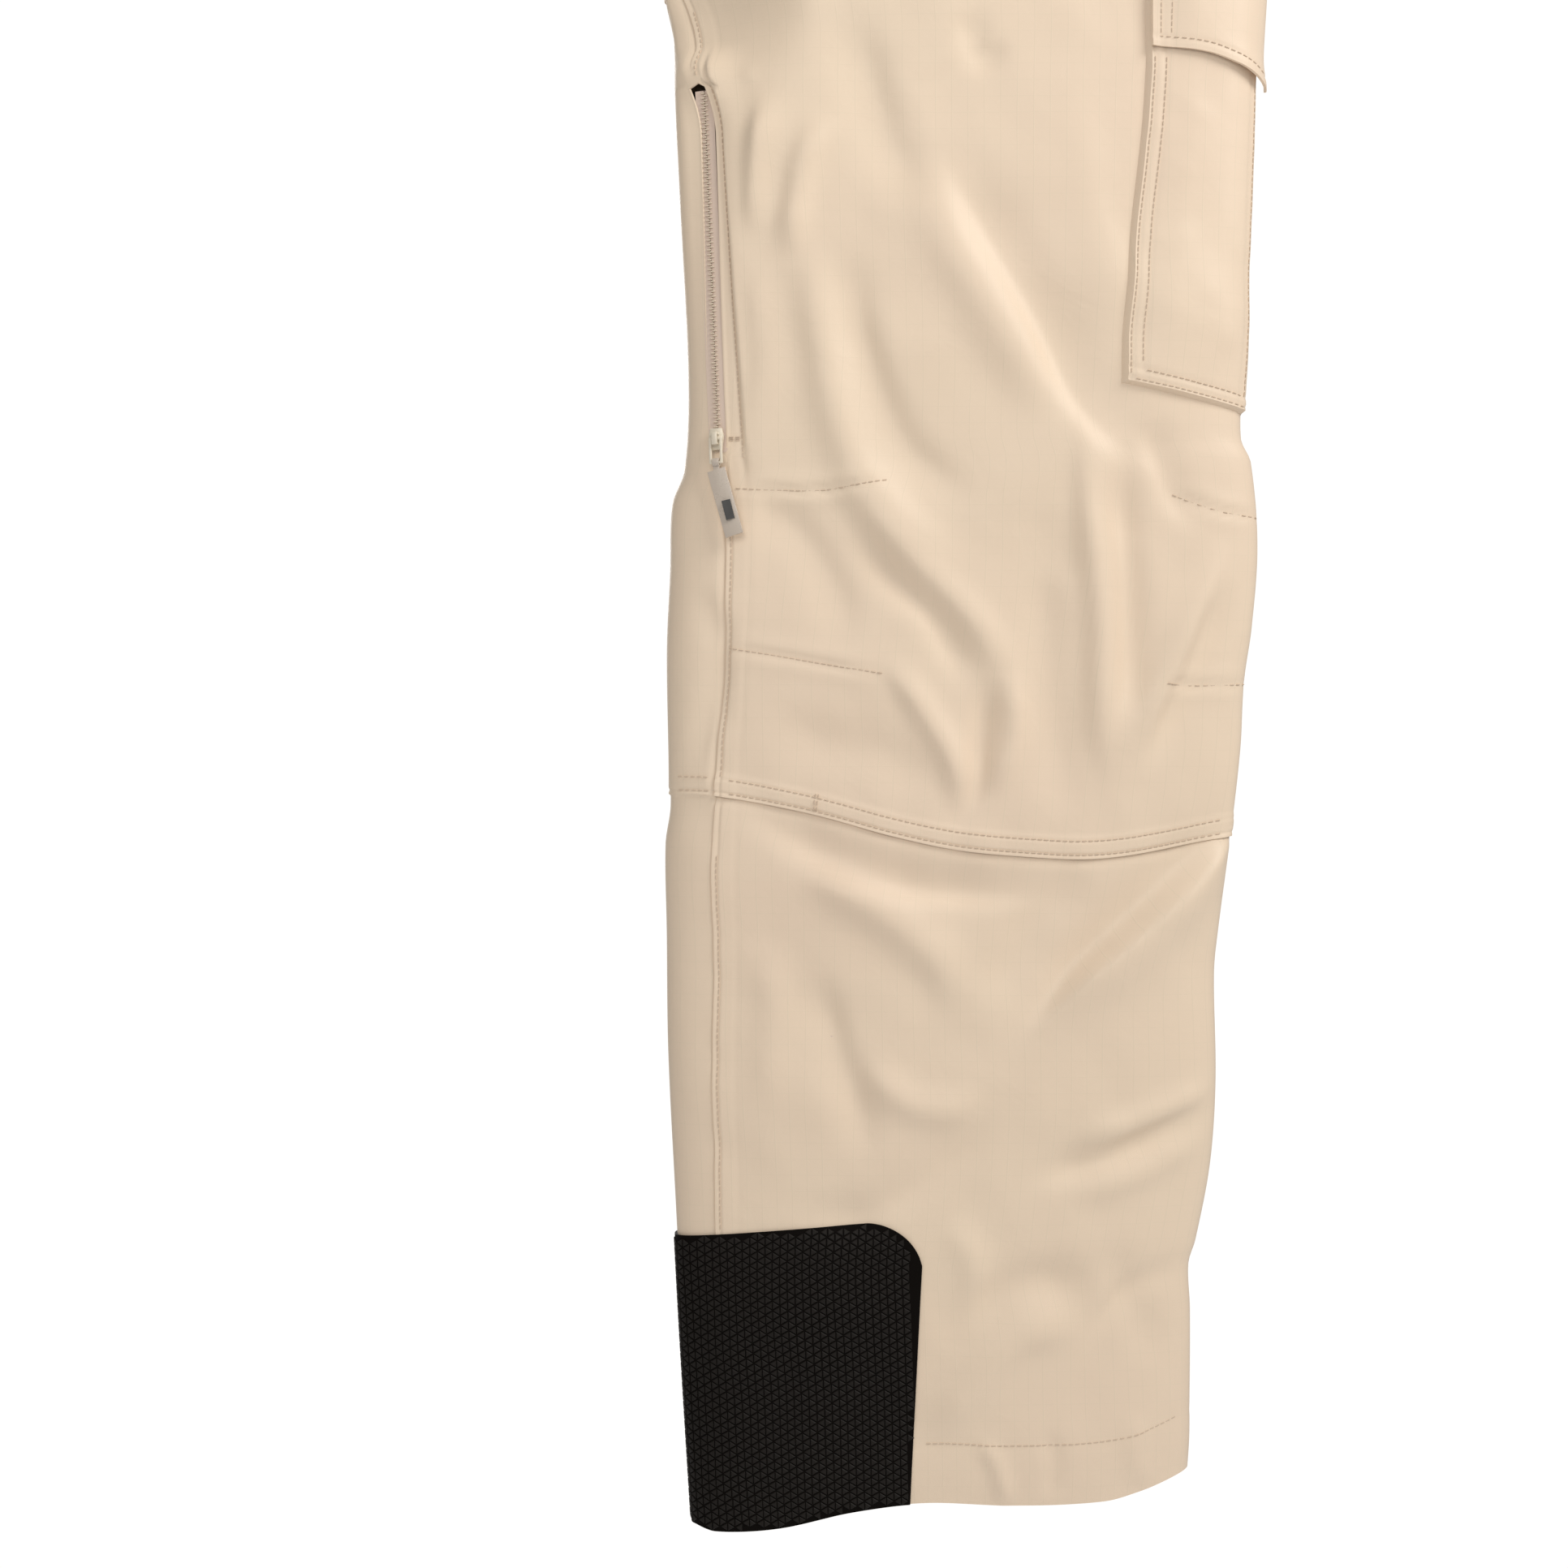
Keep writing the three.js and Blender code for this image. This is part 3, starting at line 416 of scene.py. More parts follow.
def settle(thing, body, cad_node):
    """Gives a piece its body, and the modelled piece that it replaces."""
    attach(thing, body)
    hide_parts(cad_node)


def shell(name, outer, inner, material, uv, closed=False):
    """A thin closed piece of cloth from two grids (columns, rows, 3) in metres."""
    columns, rows = outer.shape[:2]
    index = np.arange(columns * rows).reshape(columns, rows)
    spans = columns if closed else columns - 1
    here = index[np.arange(spans) % columns]
    there = index[(np.arange(spans) + 1) % columns]
    quads = np.stack([here[:, :-1], there[:, :-1], there[:, 1:], here[:, 1:]], -1).reshape(-1, 4)
    low = columns * rows
    faces = [quads, quads[:, ::-1] + low]
    rim = [
        np.stack([here[:, 0], here[:, 0] + low, there[:, 0] + low, there[:, 0]], -1),
        np.stack([here[:, -1], there[:, -1], there[:, -1] + low, here[:, -1] + low], -1),
    ]
    if not closed:
        first, last = index[0], index[-1]
        rim.append(np.stack([first[:-1], first[1:], first[1:] + low, first[:-1] + low], -1))
        rim.append(np.stack([last[:-1], last[:-1] + low, last[1:] + low, last[1:]], -1))
    faces = np.concatenate(faces + rim)
    points = np.concatenate([outer.reshape(-1, 3), inner.reshape(-1, 3)])
    a, b, c, d = (points[faces[:, k]] for k in range(4))
    volume = np.einsum("ij,ij->i", a, np.cross(b, c)).sum() + np.einsum("ij,ij->i", a, np.cross(c, d)).sum()
    if volume < 0:
        faces = faces[:, ::-1]
    both = np.concatenate([uv.reshape(-1, 2)] * 2)
    return new_object(name, points, faces.tolist(), material, both)


def crowded(count, length, at_start, at_end, reach=11.0):
    """Shares from 0 to 1, closer together near the marked ends."""
    t = np.linspace(0, 1, 600)
    weight = 1 + at_start * np.exp(-(t * length / reach) ** 2)
    weight = weight + at_end * np.exp(-((1 - t) * length / reach) ** 2)
    total = np.concatenate([[0], np.cumsum((weight[1:] + weight[:-1]) / 2)])
    return np.interp(np.linspace(0, total[-1], count), total, t)


def panel_grid(start, end, low, high, at_low, at_high, step, crowd=(0, 0, 0, 0)):
    """Angles and heights of a grid between two side lines and two end lines; crowd packs its ends."""
    middle = np.linspace(at_low, at_high, 9)
    width = max(np.interp(end(z), _angles, _lengths) - np.interp(start(z), _angles, _lengths) for z in middle)
    columns = max(int(width / step), 4) + 1
    rows = max(int((at_high - at_low) / step), 4) + 1
    part = crowded(columns, width, crowd[0], crowd[1])
    low_x = wall(spaced(start(at_low), end(at_low), part), at_low)[:, 0]
    high_x = wall(spaced(start(at_high), end(at_high), part), at_high)[:, 0]
    up = crowded(rows, at_high - at_low, crowd[2], crowd[3])[None, :]
    z = mix(low(low_x)[:, None], high(high_x)[:, None], up)
    angle = spaced(start(z), end(z), part[:, None])
    return angle, z


def even_uv(angle, z):
    length = np.interp(angle, _angles, _lengths)
    return np.stack([length * MM, z * MM], -1)


# ---------------------------------------------------------------------------
# Materials
# ---------------------------------------------------------------------------

def start_material(name):
    material = bpy.data.materials.new(name)
    material.use_nodes = True
    tree = material.node_tree
    return material, tree, tree.nodes["Principled BSDF"]


def node(tree, kind, **settings):
    made = tree.nodes.new(kind)
    for key, value in settings.items():
        if key in made.inputs:
            made.inputs[key].default_value = value
        else:
            setattr(made, key, value)
    return made


def maths(tree, operation, a, b=None):
    made = tree.nodes.new("ShaderNodeMath")
    made.operation = operation
    for socket, value in zip(made.inputs, (a, b)):
        if value is None:
            continue
        if isinstance(value, (int, float)):
            socket.default_value = value
        else:
            tree.links.new(value, socket)
    return made.outputs[0]


def blend_colours(tree, share, first, second):
    made = tree.nodes.new("ShaderNodeMix")
    made.data_type = "RGBA"
    for socket, value in ((made.inputs[0], share), (made.inputs[6], first), (made.inputs[7], second)):
        if isinstance(value, bpy.types.NodeSocket):
            tree.links.new(value, socket)
        else:
            socket.default_value = value
    return made.outputs[2]


LINE_FALL = 2600.0


def thin_line(tree, away):
    """1 on a line of the weave, and 0 from a little way off."""
    fall = maths(tree, "MINIMUM", maths(tree, "MULTIPLY", away, LINE_FALL), 1.0)
    return maths(tree, "SUBTRACT", 1.0, fall)


def fabric(name, colour, shade, warm, roughness, grid=0.0, weave=0.00045, sheen=0.12, weave_bump=0.25):
    """Woven coated cloth: fine weave, ripstop grid, slow colour drift and small creases."""
    material, tree, shader = start_material(name)
    place = node(tree, "ShaderNodeUVMap", uv_map="UVMap")
    link = tree.links.new
    split = tree.nodes.new("ShaderNodeSeparateXYZ")
    link(place.outputs[0], split.inputs[0])
    across, along = split.outputs[0], split.outputs[1]
    drift = node(tree, "ShaderNodeTexNoise", Scale=9.0, Detail=3.0, Roughness=0.55)
    link(place.outputs[0], drift.inputs["Vector"])
    blush = node(tree, "ShaderNodeTexNoise", Scale=4.3, Detail=2.0, Roughness=0.5)
    link(place.outputs[0], blush.inputs["Vector"])
    tone = blend_colours(tree, maths(tree, "MULTIPLY", drift.outputs[0], 0.55), colour, shade)
    tone = blend_colours(tree, maths(tree, "MULTIPLY", blush.outputs[0], 0.55), tone, warm)
    thread = maths(tree, "MULTIPLY", maths(tree, "SINE", maths(tree, "MULTIPLY", across, TURN / weave)),
                   maths(tree, "SINE", maths(tree, "MULTIPLY", along, TURN / weave)))
    height = maths(tree, "MULTIPLY", thread, 0.5)
    if grid:
        column = maths(tree, "PINGPONG", across, grid / 2)
        row = maths(tree, "PINGPONG", along, grid / 2)
        vertical = thin_line(tree, column)
        level = thin_line(tree, row)
        lines = maths(tree, "MAXIMUM", vertical, maths(tree, "MULTIPLY", level, 0.45))
        height = maths(tree, "ADD", height, maths(tree, "MULTIPLY", lines, 1.1))
        darker = tuple(c * 0.9 for c in colour[:3]) + (1,)
        tone = blend_colours(tree, maths(tree, "MULTIPLY", lines, 0.6), tone, darker)
    link(tone, shader.inputs["Base Color"])
    crumple = node(tree, "ShaderNodeTexNoise", Scale=26.0, Detail=3.0, Roughness=0.5, Distortion=0.9)
    link(place.outputs[0], crumple.inputs["Vector"])
    soft = node(tree, "ShaderNodeBump", Strength=0.1, Distance=0.004)
    link(crumple.outputs[0], soft.inputs["Height"])
    fine = node(tree, "ShaderNodeBump", Strength=weave_bump, Distance=0.0001)
    link(height, fine.inputs["Height"])
    link(soft.outputs[0], fine.inputs["Normal"])
    link(fine.outputs[0], shader.inputs["Normal"])
    rough = maths(tree, "ADD", roughness, maths(tree, "MULTIPLY", drift.outputs[0], 0.12))
    link(rough, shader.inputs["Roughness"])
    shader.inputs["Sheen Weight"].default_value = sheen
    shader.inputs["Sheen Roughness"].default_value = 0.4
    shader.inputs["Specular IOR Level"].default_value = 0.42
    return material


def plain(name, colour, roughness, metallic=0.0, grain=400.0, grain_bump=0.15, spread=0.12, transmission=0.0,
          specular=0.5):
    """Moulded plastic, rubber, cord or metal: a fine grain, a little wear and an uneven gloss."""
    material, tree, shader = start_material(name)
    place = tree.nodes.new("ShaderNodeTexCoord")
    link = tree.links.new
    cloud = node(tree, "ShaderNodeTexNoise", Scale=90.0, Detail=4.0, Roughness=0.6)
    link(place.outputs["Object"], cloud.inputs["Vector"])
    dull = tuple(c * 0.82 for c in colour[:3]) + (1,)
    link(blend_colours(tree, cloud.outputs[0], colour, dull), shader.inputs["Base Color"])
    fine = node(tree, "ShaderNodeTexNoise", Scale=grain, Detail=3.0, Roughness=0.6)
    link(place.outputs["Object"], fine.inputs["Vector"])
    bump = node(tree, "ShaderNodeBump", Strength=grain_bump, Distance=0.0003)
    link(fine.outputs[0], bump.inputs["Height"])
    link(bump.outputs[0], shader.inputs["Normal"])
    rough = maths(tree, "ADD", roughness - spread / 2, maths(tree, "MULTIPLY", cloud.outputs[0], spread))
    link(rough, shader.inputs["Roughness"])
    shader.inputs["Metallic"].default_value = metallic
    shader.inputs["Transmission Weight"].default_value = transmission
    shader.inputs["Specular IOR Level"].default_value = specular
    return material


CREAM = (0.845, 0.71, 0.54, 1)
CREAM_SHADE = (0.735, 0.595, 0.445, 1)
CREAM_BLUSH = (0.82, 0.625, 0.5, 1)
RIPSTOP = 0.0082
shell_cloth = fabric("cream_ripstop", CREAM, CREAM_SHADE, CREAM_BLUSH, 0.4, grid=RIPSTOP)
lining_cloth = fabric("lining", (0.74, 0.6, 0.5, 1), (0.66, 0.53, 0.44, 1), (0.72, 0.56, 0.48, 1), 0.55,
                      weave=0.0006)
thread = plain("thread", (0.7, 0.56, 0.43, 1), 0.65, grain=2500.0)
guard_rubber = plain("guard_base", (0.0045, 0.0032, 0.0025, 1), 0.6, grain=900.0, specular=0.05)
# The studs are the guard's own black rubber; their lighter colour is painted sheen on the raised triangles.
stud_rubber_painted_sheen = plain("guard_studs_painted_sheen", (0.014, 0.0115, 0.0098, 1), 0.5, grain=1500.0, specular=0.14)
coil_plastic = plain("zip_coil", (0.78, 0.66, 0.52, 1), 0.42)
slider_paint = plain("slider_paint", (0.82, 0.74, 0.6, 1), 0.34, metallic=0.1)
cord_ivory = plain("ivory_cord", (0.86, 0.78, 0.64, 1), 0.6, grain=1800.0, grain_bump=0.5)
tag_plastic = plain("tag_plastic", (0.7, 0.61, 0.52, 1), 0.28, transmission=0.12)
mark_black = plain("tag_mark", (0.015, 0.015, 0.015, 1), 0.4)
elastic_rubber = plain("elastic", (0.09, 0.085, 0.08, 1), 0.7, grain=1500.0, grain_bump=0.5)
steel = plain("hook_steel", (0.45, 0.46, 0.48, 1), 0.3, metallic=1.0, grain=1200.0)
snap_paint = plain("snap_paint", (0.66, 0.6, 0.5, 1), 0.32, metallic=0.7)

# ---------------------------------------------------------------------------
# Shell panels
# ---------------------------------------------------------------------------

CLOTH_THICK = 0.9
GRID_STEP = 2.6
SIDE_SEAM = 0.004
HEM_LEVEL = 30
HALVES = {"left": -1, "right": 1}
FOLD_SLOT = math.pi - FOLD_SLOT_ANGLE


def seam_angle(z, gap):
    z = np.asarray(z, float)
    return np.where(z >= CROTCH, FOLD_SLOT, np.minimum(angle_at(seam_x(z) + gap, z), FOLD_SLOT))


def front_end(z):
    return seam_angle(z, slot_half(z))


def back_start(z):
    return TURN - seam_angle(z, 0)


def inner_end(z):
    return TURN - angle_at(seam_x(z) + 4, z)


def inner_start(z):
    return angle_at(seam_x(z) - slot_half(z) + 4 * (1 - slot_half(z) / SLOT_HALF), z)


def finish_panel(thing, half, cad_node):
    settle(thing, f"{half}_half", cad_node)


def cloth_panel(half, cad_name, start, end, low, high, at_low, at_high, layer, crowd):
    """One shell panel. layer(angle, z) gives how far its outer face lies out of the tube."""
    side = HALVES[half]
    step = GRID_STEP * 1
    angle, z = panel_grid(start, end, low, high, at_low, at_high, step, crowd)
    out = layer(angle, z)
    outer = to_row(surface(angle, z, out, side), side)
    inner = to_row(surface(angle, z, out - CLOTH_THICK, side), side)
    name = f"{half}_{cad_name}_cloth"
    thing = shell(name, outer, inner, shell_cloth, even_uv(angle, z))
    finish_panel(thing, half, f"{half}_{cad_name}")


def near_edge(distance, width):
    return np.exp(-(np.asarray(distance, float) / width) ** 2)


def zip_line(half):
    """Where the straight vent zip lies: its depth in the garment frame at each height."""
    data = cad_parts[f"{half}_vent_coil"].data
    corners = sorted({tuple(round(c, 7) for c in v.co) for v in data.vertices}, key=lambda c: c[2])
    ends = []
    for group in (corners[:4], corners[-4:]):
        height = WAIST_TOP + np.mean([c[2] for c in group]) / MM
        ends.append((height, np.mean([abs(c[1]) for c in group]) / MM))
    return ends


VENT_ENDS = zip_line("left")


def vent_level(z):
    """How far the middle of the zip lies out of the tube."""
    seat = wall(angle_at(seam_x(z), z), z)
    (low, low_depth), (high, high_depth) = VENT_ENDS
    depth = low_depth + (high_depth - low_depth) * (z - low) / (high - low)
    return (depth + seat[..., 1]) * 1.1


def beside_vent(from_seam, z, out, rise):
    """Lets the cloth meet the straight zip instead of bulging over it."""
    share = near_edge(from_seam, 13) * ease(z, VENT_BOTTOM - 16, VENT_BOTTOM + 4)
    share = np.minimum(share * 1.5, 1) * ease(-z, -VENT_TOP - 24, -VENT_TOP - 4)
    return mix(out, vent_level(z) + rise, share)


def strip_edge(z):
    """How far from the zip the front panel's stitched edge lies; the strip narrows upwards."""
    return mix(11.3, 6.4, ease(z, VENT_BOTTOM - 10, VENT_TOP))


def seam_layers(angle, z):
    """Raised bands, stitched dips and puckers beside the seams of the front panels."""
    x = wall(angle, z)[..., 0]
    front = (np.sin(angle) > 0).astype(float)
    from_seam = x - seam_x(z)
    up = z - knee_line(x)
    pucker = np.sin(x / 5.3) * np.sin(x / 17 + 1.3)
    out = 0.55 * near_edge(from_seam, 9) * front + 0.3
    out += -0.45 * near_edge(from_seam - 2.3, 0.8) * front - 0.2 * near_edge(from_seam - 11, 1.2) * front
    out += 0.22 * np.sin(z / 4.3) * np.sin(z / 17) * near_edge(from_seam - 3, 4) * front
    past_strip = from_seam - strip_edge(z)
    lip = 0.75 + 0.35 * near_edge(from_seam - SLOT_HALF - 0.6, 0.8) - 0.5 * near_edge(past_strip, 0.9)
    beside = ease(z, VENT_BOTTOM - 16, VENT_BOTTOM + 4) * ease(-z, -VENT_TOP - 24, -VENT_TOP - 4)
    lip += 1.7 * ease(past_strip, 0.3, 3.4) * ease(-past_strip, -30, -5)
    out = mix(out, beside_vent(from_seam, z, out, lip), front)
    out += 0.6 * beside * ease(past_strip, 0.5, 4) * ease(-past_strip, -26, -6) * front
    out += 0.75 * ease(up, -3, -0.2) * ease(-up, -12, -8.2)
    out += -0.4 * near_edge(up - 1.6, 0.8) - 0.4 * near_edge(up - 8.5, 0.9)
    out += 0.35 * pucker * near_edge(up - 5, 14)
    hem_up = z - hem_line(x)
    out += -0.4 * near_edge(hem_up - 30, 1.1) + 0.5 * near_edge(hem_up - 15, 14)
    out += 0.3 * np.sin(x / 6.1) * near_edge(hem_up - 30, 9)
    return out


def dart(x, z, points):
    """A stitched dart: a narrow dip with puckers across it."""
    height = np.zeros(np.shape(x))
    fold(x, z, height, points, -0.9, 1.3, 1.3)
    fold(x, z, height, [(px, pz + 5) for px, pz in points], 0.7, 4, 4)
    fold(x, z, height, [(px, pz - 5) for px, pz in points], 0.6, 4, 4)
    return height


DARTS = [
    [(-115, 525), (-95, 524), (-70, 524), (-38, 529)],
    [(-120, 445), (-96, 441), (-73, 437), (-42, 432)],
    [(149, 511), (128, 514), (106, 522)],
    [(143, 427), (120, 426), (98, 427)],
]


def thigh_layer(angle, z):
    x = wall(angle, z)[..., 0]
    out = seam_layers(angle, z)
    for points in DARTS:
        out += dart(x, z, points)
    return out


def inner_layer(angle, z):
    """The inner panels tuck under the front and back panels; their knee seam steps down like the rest."""
    x = wall(angle, z)[..., 0]
    past_seam = x - seam_x(z)
    up = z - knee_line(x)
    step = 1.1 * ease(up, -0.9, -0.5) - 0.5 * near_edge(up - 1.6, 0.8) * (up > 0)
    out = 0.1 - 1.15 * ease(past_seam, -1.2, 0.8) + step * ease(-past_seam, 1, 4) * (up > -1)
    on_zip = beside_vent(past_seam, z, out, 0.95 + 0.25 * near_edge(past_seam + 3.2, 0.9))
    return mix(out, on_zip, ease(np.sin(angle), 0.04, 0.4))


def pocket_left(z):
    return 78.5 + 12 * ease(z, POCKET_BOTTOM + 20, POCKET_TOP - 40)


def build_shell(half):
    """The six shell panels of a half."""
    front_seam = always(SIDE_SEAM)
    back_seam = always(TURN - SIDE_SEAM)
    knee_over = shifted(knee_line, -0.6)
    knee_under = shifted(knee_line, 6)
    top = always(HIP_TOP + 1.0)
    cloth_panel(half, "thigh_front", front_seam, front_end, knee_over, top, KNEE, HIP_TOP,
                thigh_layer, (0, 3.5, 4, 0))
    cloth_panel(half, "thigh_back", back_start, back_seam, knee_over, top, KNEE, HIP_TOP,
                lambda angle, z: seam_layers(angle, z) * 0.6, (3.5, 0, 4, 0))
    cloth_panel(half, "thigh_inner", inner_start, inner_end, knee_over, always(CROTCH - 3), KNEE, CROTCH - 3,
                inner_layer, (3, 3, 4, 0))

    def shin_layer(angle, z):
        x = wall(angle, z)[..., 0]
        under = ease(z - knee_line(x), -7, 1)
        return seam_layers(angle, z) * (1 - under) - 0.5 * under

    cloth_panel(half, "shin_front", front_seam, front_end, hem_line, knee_under, HEM_LEVEL, KNEE,
                shin_layer, (0, 3.5, 1, 3))
    cloth_panel(half, "shin_back", back_start, back_seam, hem_line, knee_under, HEM_LEVEL, KNEE,
                shin_layer, (3.5, 0, 1, 3))
    cloth_panel(half, "shin_inner", inner_start, inner_end, hem_line, knee_under, HEM_LEVEL, KNEE,
                inner_layer, (3, 3, 1, 3))


for half_name in HALVES:
    build_shell(half_name)

# ---------------------------------------------------------------------------
# Small shapes stamped along seams, zips and the scuff guard
# ---------------------------------------------------------------------------

def stamp_tree():
    """Puts one shape on every point, turned to the point's own directions."""
    tree = bpy.data.node_groups.new("stamp_on_points", "GeometryNodeTree")
    face = tree.interface
    face.new_socket("Points", in_out="INPUT", socket_type="NodeSocketGeometry")
    face.new_socket("Shape", in_out="INPUT", socket_type="NodeSocketObject")
    face.new_socket("Size", in_out="INPUT", socket_type="NodeSocketFloat")
    face.new_socket("Finish", in_out="INPUT", socket_type="NodeSocketMaterial")
    face.new_socket("Shapes", in_out="OUTPUT", socket_type="NodeSocketGeometry")
    inward = tree.nodes.new("NodeGroupInput")
    outward = tree.nodes.new("NodeGroupOutput")
    link = tree.links.new
    shape = tree.nodes.new("GeometryNodeObjectInfo")
    link(inward.outputs["Shape"], shape.inputs["Object"])
    turned = None
    for name, axis, pivot in (("facing", "Z", "AUTO"), ("along", "X", "Z")):
        read = tree.nodes.new("GeometryNodeInputNamedAttribute")
        read.data_type = "FLOAT_VECTOR"
        read.inputs["Name"].default_value = name
        turn = tree.nodes.new("FunctionNodeAlignRotationToVector")
        turn.axis = axis
        turn.pivot_axis = pivot
        if turned:
            link(turned, turn.inputs["Rotation"])
        link(read.outputs["Attribute"], turn.inputs["Vector"])
        turned = turn.outputs["Rotation"]
    place = tree.nodes.new("GeometryNodeInstanceOnPoints")
    link(inward.outputs["Points"], place.inputs["Points"])
    link(shape.outputs["Geometry"], place.inputs["Instance"])
    link(turned, place.inputs["Rotation"])
    link(inward.outputs["Size"], place.inputs["Scale"])
    real = tree.nodes.new("GeometryNodeRealizeInstances")
    link(place.outputs["Instances"], real.inputs["Geometry"])
    coat = tree.nodes.new("GeometryNodeSetMaterial")
    link(real.outputs["Geometry"], coat.inputs["Geometry"])
    link(inward.outputs["Finish"], coat.inputs["Material"])
    link(coat.outputs["Geometry"], outward.inputs[0])
    return tree


STAMP = stamp_tree()


def stamp(name, points, along, facing, shape, material, size=1.0):
    """One plain mesh with the shape at every point; directions are unit vectors in the row frame."""
    cloud = bpy.data.meshes.new(name + "_points")
    cloud.from_pydata([tuple(p) for p in points], [], [])
    for label, values in (("along", along), ("facing", facing)):
        attribute = cloud.attributes.new(label, "FLOAT_VECTOR", "POINT")
        attribute.data.foreach_set("vector", np.asarray(values, np.float32).ravel())
    holder = bpy.data.objects.new(name + "_points", cloud)
    bpy.context.scene.collection.objects.link(holder)
    modifier = holder.modifiers.new("stamp", "NODES")
    modifier.node_group = STAMP
    settings = {"Shape": shape, "Size": size, "Finish": material}
    for item in STAMP.interface.items_tree:
        if item.in_out == "INPUT" and item.name in settings:
            modifier[item.identifier] = settings[item.name]
    bpy.context.view_layer.update()
    ready = holder.evaluated_get(bpy.context.evaluated_depsgraph_get())
    mesh = bpy.data.meshes.new_from_object(ready)
    mesh.name = name
    made = bpy.data.objects.new(name, mesh)
    bpy.context.scene.collection.objects.link(made)
    bpy.data.objects.remove(holder)
    return made


def hidden_shape(name, vertices, faces):
    mesh = bpy.data.meshes.new(name)
    mesh.from_pydata(vertices, [], faces)
    mesh.update()
    return bpy.data.objects.new(name, mesh)


def rod_shape(name, length, thick, sides=6):
    """A short thread or tooth along X with tapered ends, in metres."""
    rings = [(-0.5, 0.35), (-0.36, 1.0), (0.36, 1.0), (0.5, 0.35)]
    vertices, faces = [], []
    for at, swell in rings:
        for k in range(sides):
            a = TURN * k / sides
            vertices.append((at * length, math.cos(a) * swell * thick / 2, math.sin(a) * swell * thick / 2))
    for r in range(len(rings) - 1):
        for k in range(sides):
            m = (k + 1) % sides
            faces.append((r * sides + k, (r + 1) * sides + k, (r + 1) * sides + m, r * sides + m))
    faces.append(tuple(range(sides)))
    faces.append(tuple(reversed(range((len(rings) - 1) * sides, len(rings) * sides))))
    faces = [tuple(reversed(f)) for f in faces]
    return hidden_shape(name, vertices, faces)


def stud_shape(name, side, height):
    """A raised triangle whose point looks along X, in metres."""
    vertices = []
    for z, share in ((-0.2 * height, 1.0), (0.55 * height, 0.92), (height, 0.66)):
        for k in range(3):
            a = TURN * k / 3
            r = side / math.sqrt(3) * share
            vertices.append((r * math.cos(a), r * math.sin(a), z))
    faces = [(6, 7, 8), (2, 1, 0)]
    for level in (0, 3):
        for k in range(3):
            m = (k + 1) % 3
            faces.append((level + k, level + m, level + m + 3, level + k + 3))
    return hidden_shape(name, vertices, faces)


STITCH_PITCH = 3.2
stitch_shape = rod_shape("stitch_shape", 2.5 * MM, 0.55 * MM)
tooth_shape = rod_shape("tooth_shape", 2.3 * MM, 0.95 * MM)
STUD_CELL = 4.9
stud_mesh = stud_shape("stud_shape", STUD_CELL * 0.8 * MM, 0.55 * MM)


def frames_on(place, first, second, side, nudge=0.5):
    """Points, tangents and outward directions along a path given by two coordinates of place()."""
    points = to_row(place(first, second), side)
    along = np.gradient(points, axis=0)
    along /= np.linalg.norm(along, axis=1)[:, None] + 1e-12
    a = to_row(place(first + nudge, second), side) - points
    b = to_row(place(first, second + nudge), side) - points
    facing = np.cross(a, b)
    facing /= np.linalg.norm(facing, axis=1)[:, None] + 1e-12
    return points, along, facing


def dense_path(points, pitch):
    p = smooth_path(points, 200)
    steps = np.concatenate([[0], np.cumsum(np.linalg.norm(np.diff(p, axis=0), axis=1))])
    at = np.arange(pitch / 2, steps[-1], pitch)
    return np.interp(at, steps, p[:, 0]), np.interp(at, steps, p[:, 1])


class Stitching:
    """Gathers the rows of stitches of one body and stamps them as one piece."""

    def __init__(self, half):
        self.side = HALVES[half]
        self.rows = []

    def row(self, points, layer, back=False, lift=0.34):
        x, z = dense_path(points, STITCH_PITCH)

        def place(px, pz):
            angle = angle_at(px, pz)
            angle = TURN - angle if back else angle
            return surface(angle, pz, layer(angle, pz) + lift, self.side)

        found = frames_on(place, x, z, self.side)
        outward = found[2] * np.sign(found[2][:, 1:2] * self.side + 1e-9) * (-1 if back else 1)
        self.rows.append((found[0], found[1], outward))

    def stamp(self, name, body):
        parts = [np.concatenate([r[k] for r in self.rows]) for k in range(3)]
        made = stamp(name, *parts, stitch_shape, thread)
        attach(made, body)


# ---------------------------------------------------------------------------
# Hem facing, gaiter and scuff guard
# ---------------------------------------------------------------------------

def sleeve(half, name, cad_node, low, high, out_of, thick, material):
    """A closed ring of cloth or elastic round the inside of the leg."""
    side = HALVES[half]
    part = np.linspace(0, 1, 181)[:-1]
    angle = spaced(0.0, TURN, part)[:, None]
    x = wall(angle, 20)[..., 0]
    up = np.linspace(0, 1, 41)[None, :]
    z = mix(low(x), high(x), up)
    angle = np.broadcast_to(angle, z.shape)
    out = out_of(angle, z, x)
    outer, inner = to_row(wall(angle, z, out), side), to_row(wall(angle, z, out - thick), side)
    thing = shell(name, outer, inner, material, even_uv(angle, z), closed=True)
    settle(thing, f"{half}_half", cad_node)


def build_cuff(half):
    def gather(a, z):
        return 0.9 * np.sin(np.interp(a, _angles, _lengths) / 2.6) * ease(-z, -78, -30)

    sleeve(half, f"{half}_hem_facing", f"{half}_cuff_hem", shifted(hem_line, 1.5), shifted(hem_line, 30),
           lambda a, z, x: -2.6 + 0 * z, 0.8, lining_cloth)
    sleeve(half, f"{half}_gaiter_sleeve", f"{half}_gaiter", shifted(hem_line, 24), always(250),
           lambda a, z, x: -mix(8.4, 3.4, ease(z, 100, 250)) + gather(a, z), 0.7, lining_cloth)
    sleeve(half, f"{half}_gripper_elastic", f"{half}_gaiter_elastic", shifted(hem_line, 26),
           shifted(hem_line, 42), lambda a, z, x: -10.6 + 0.8 * gather(a, z), 1.0, elastic_rubber)


GUARD_OUT = 1.5
GUARD_CORNER = 28
GUARD_CORNER_X = -50.6


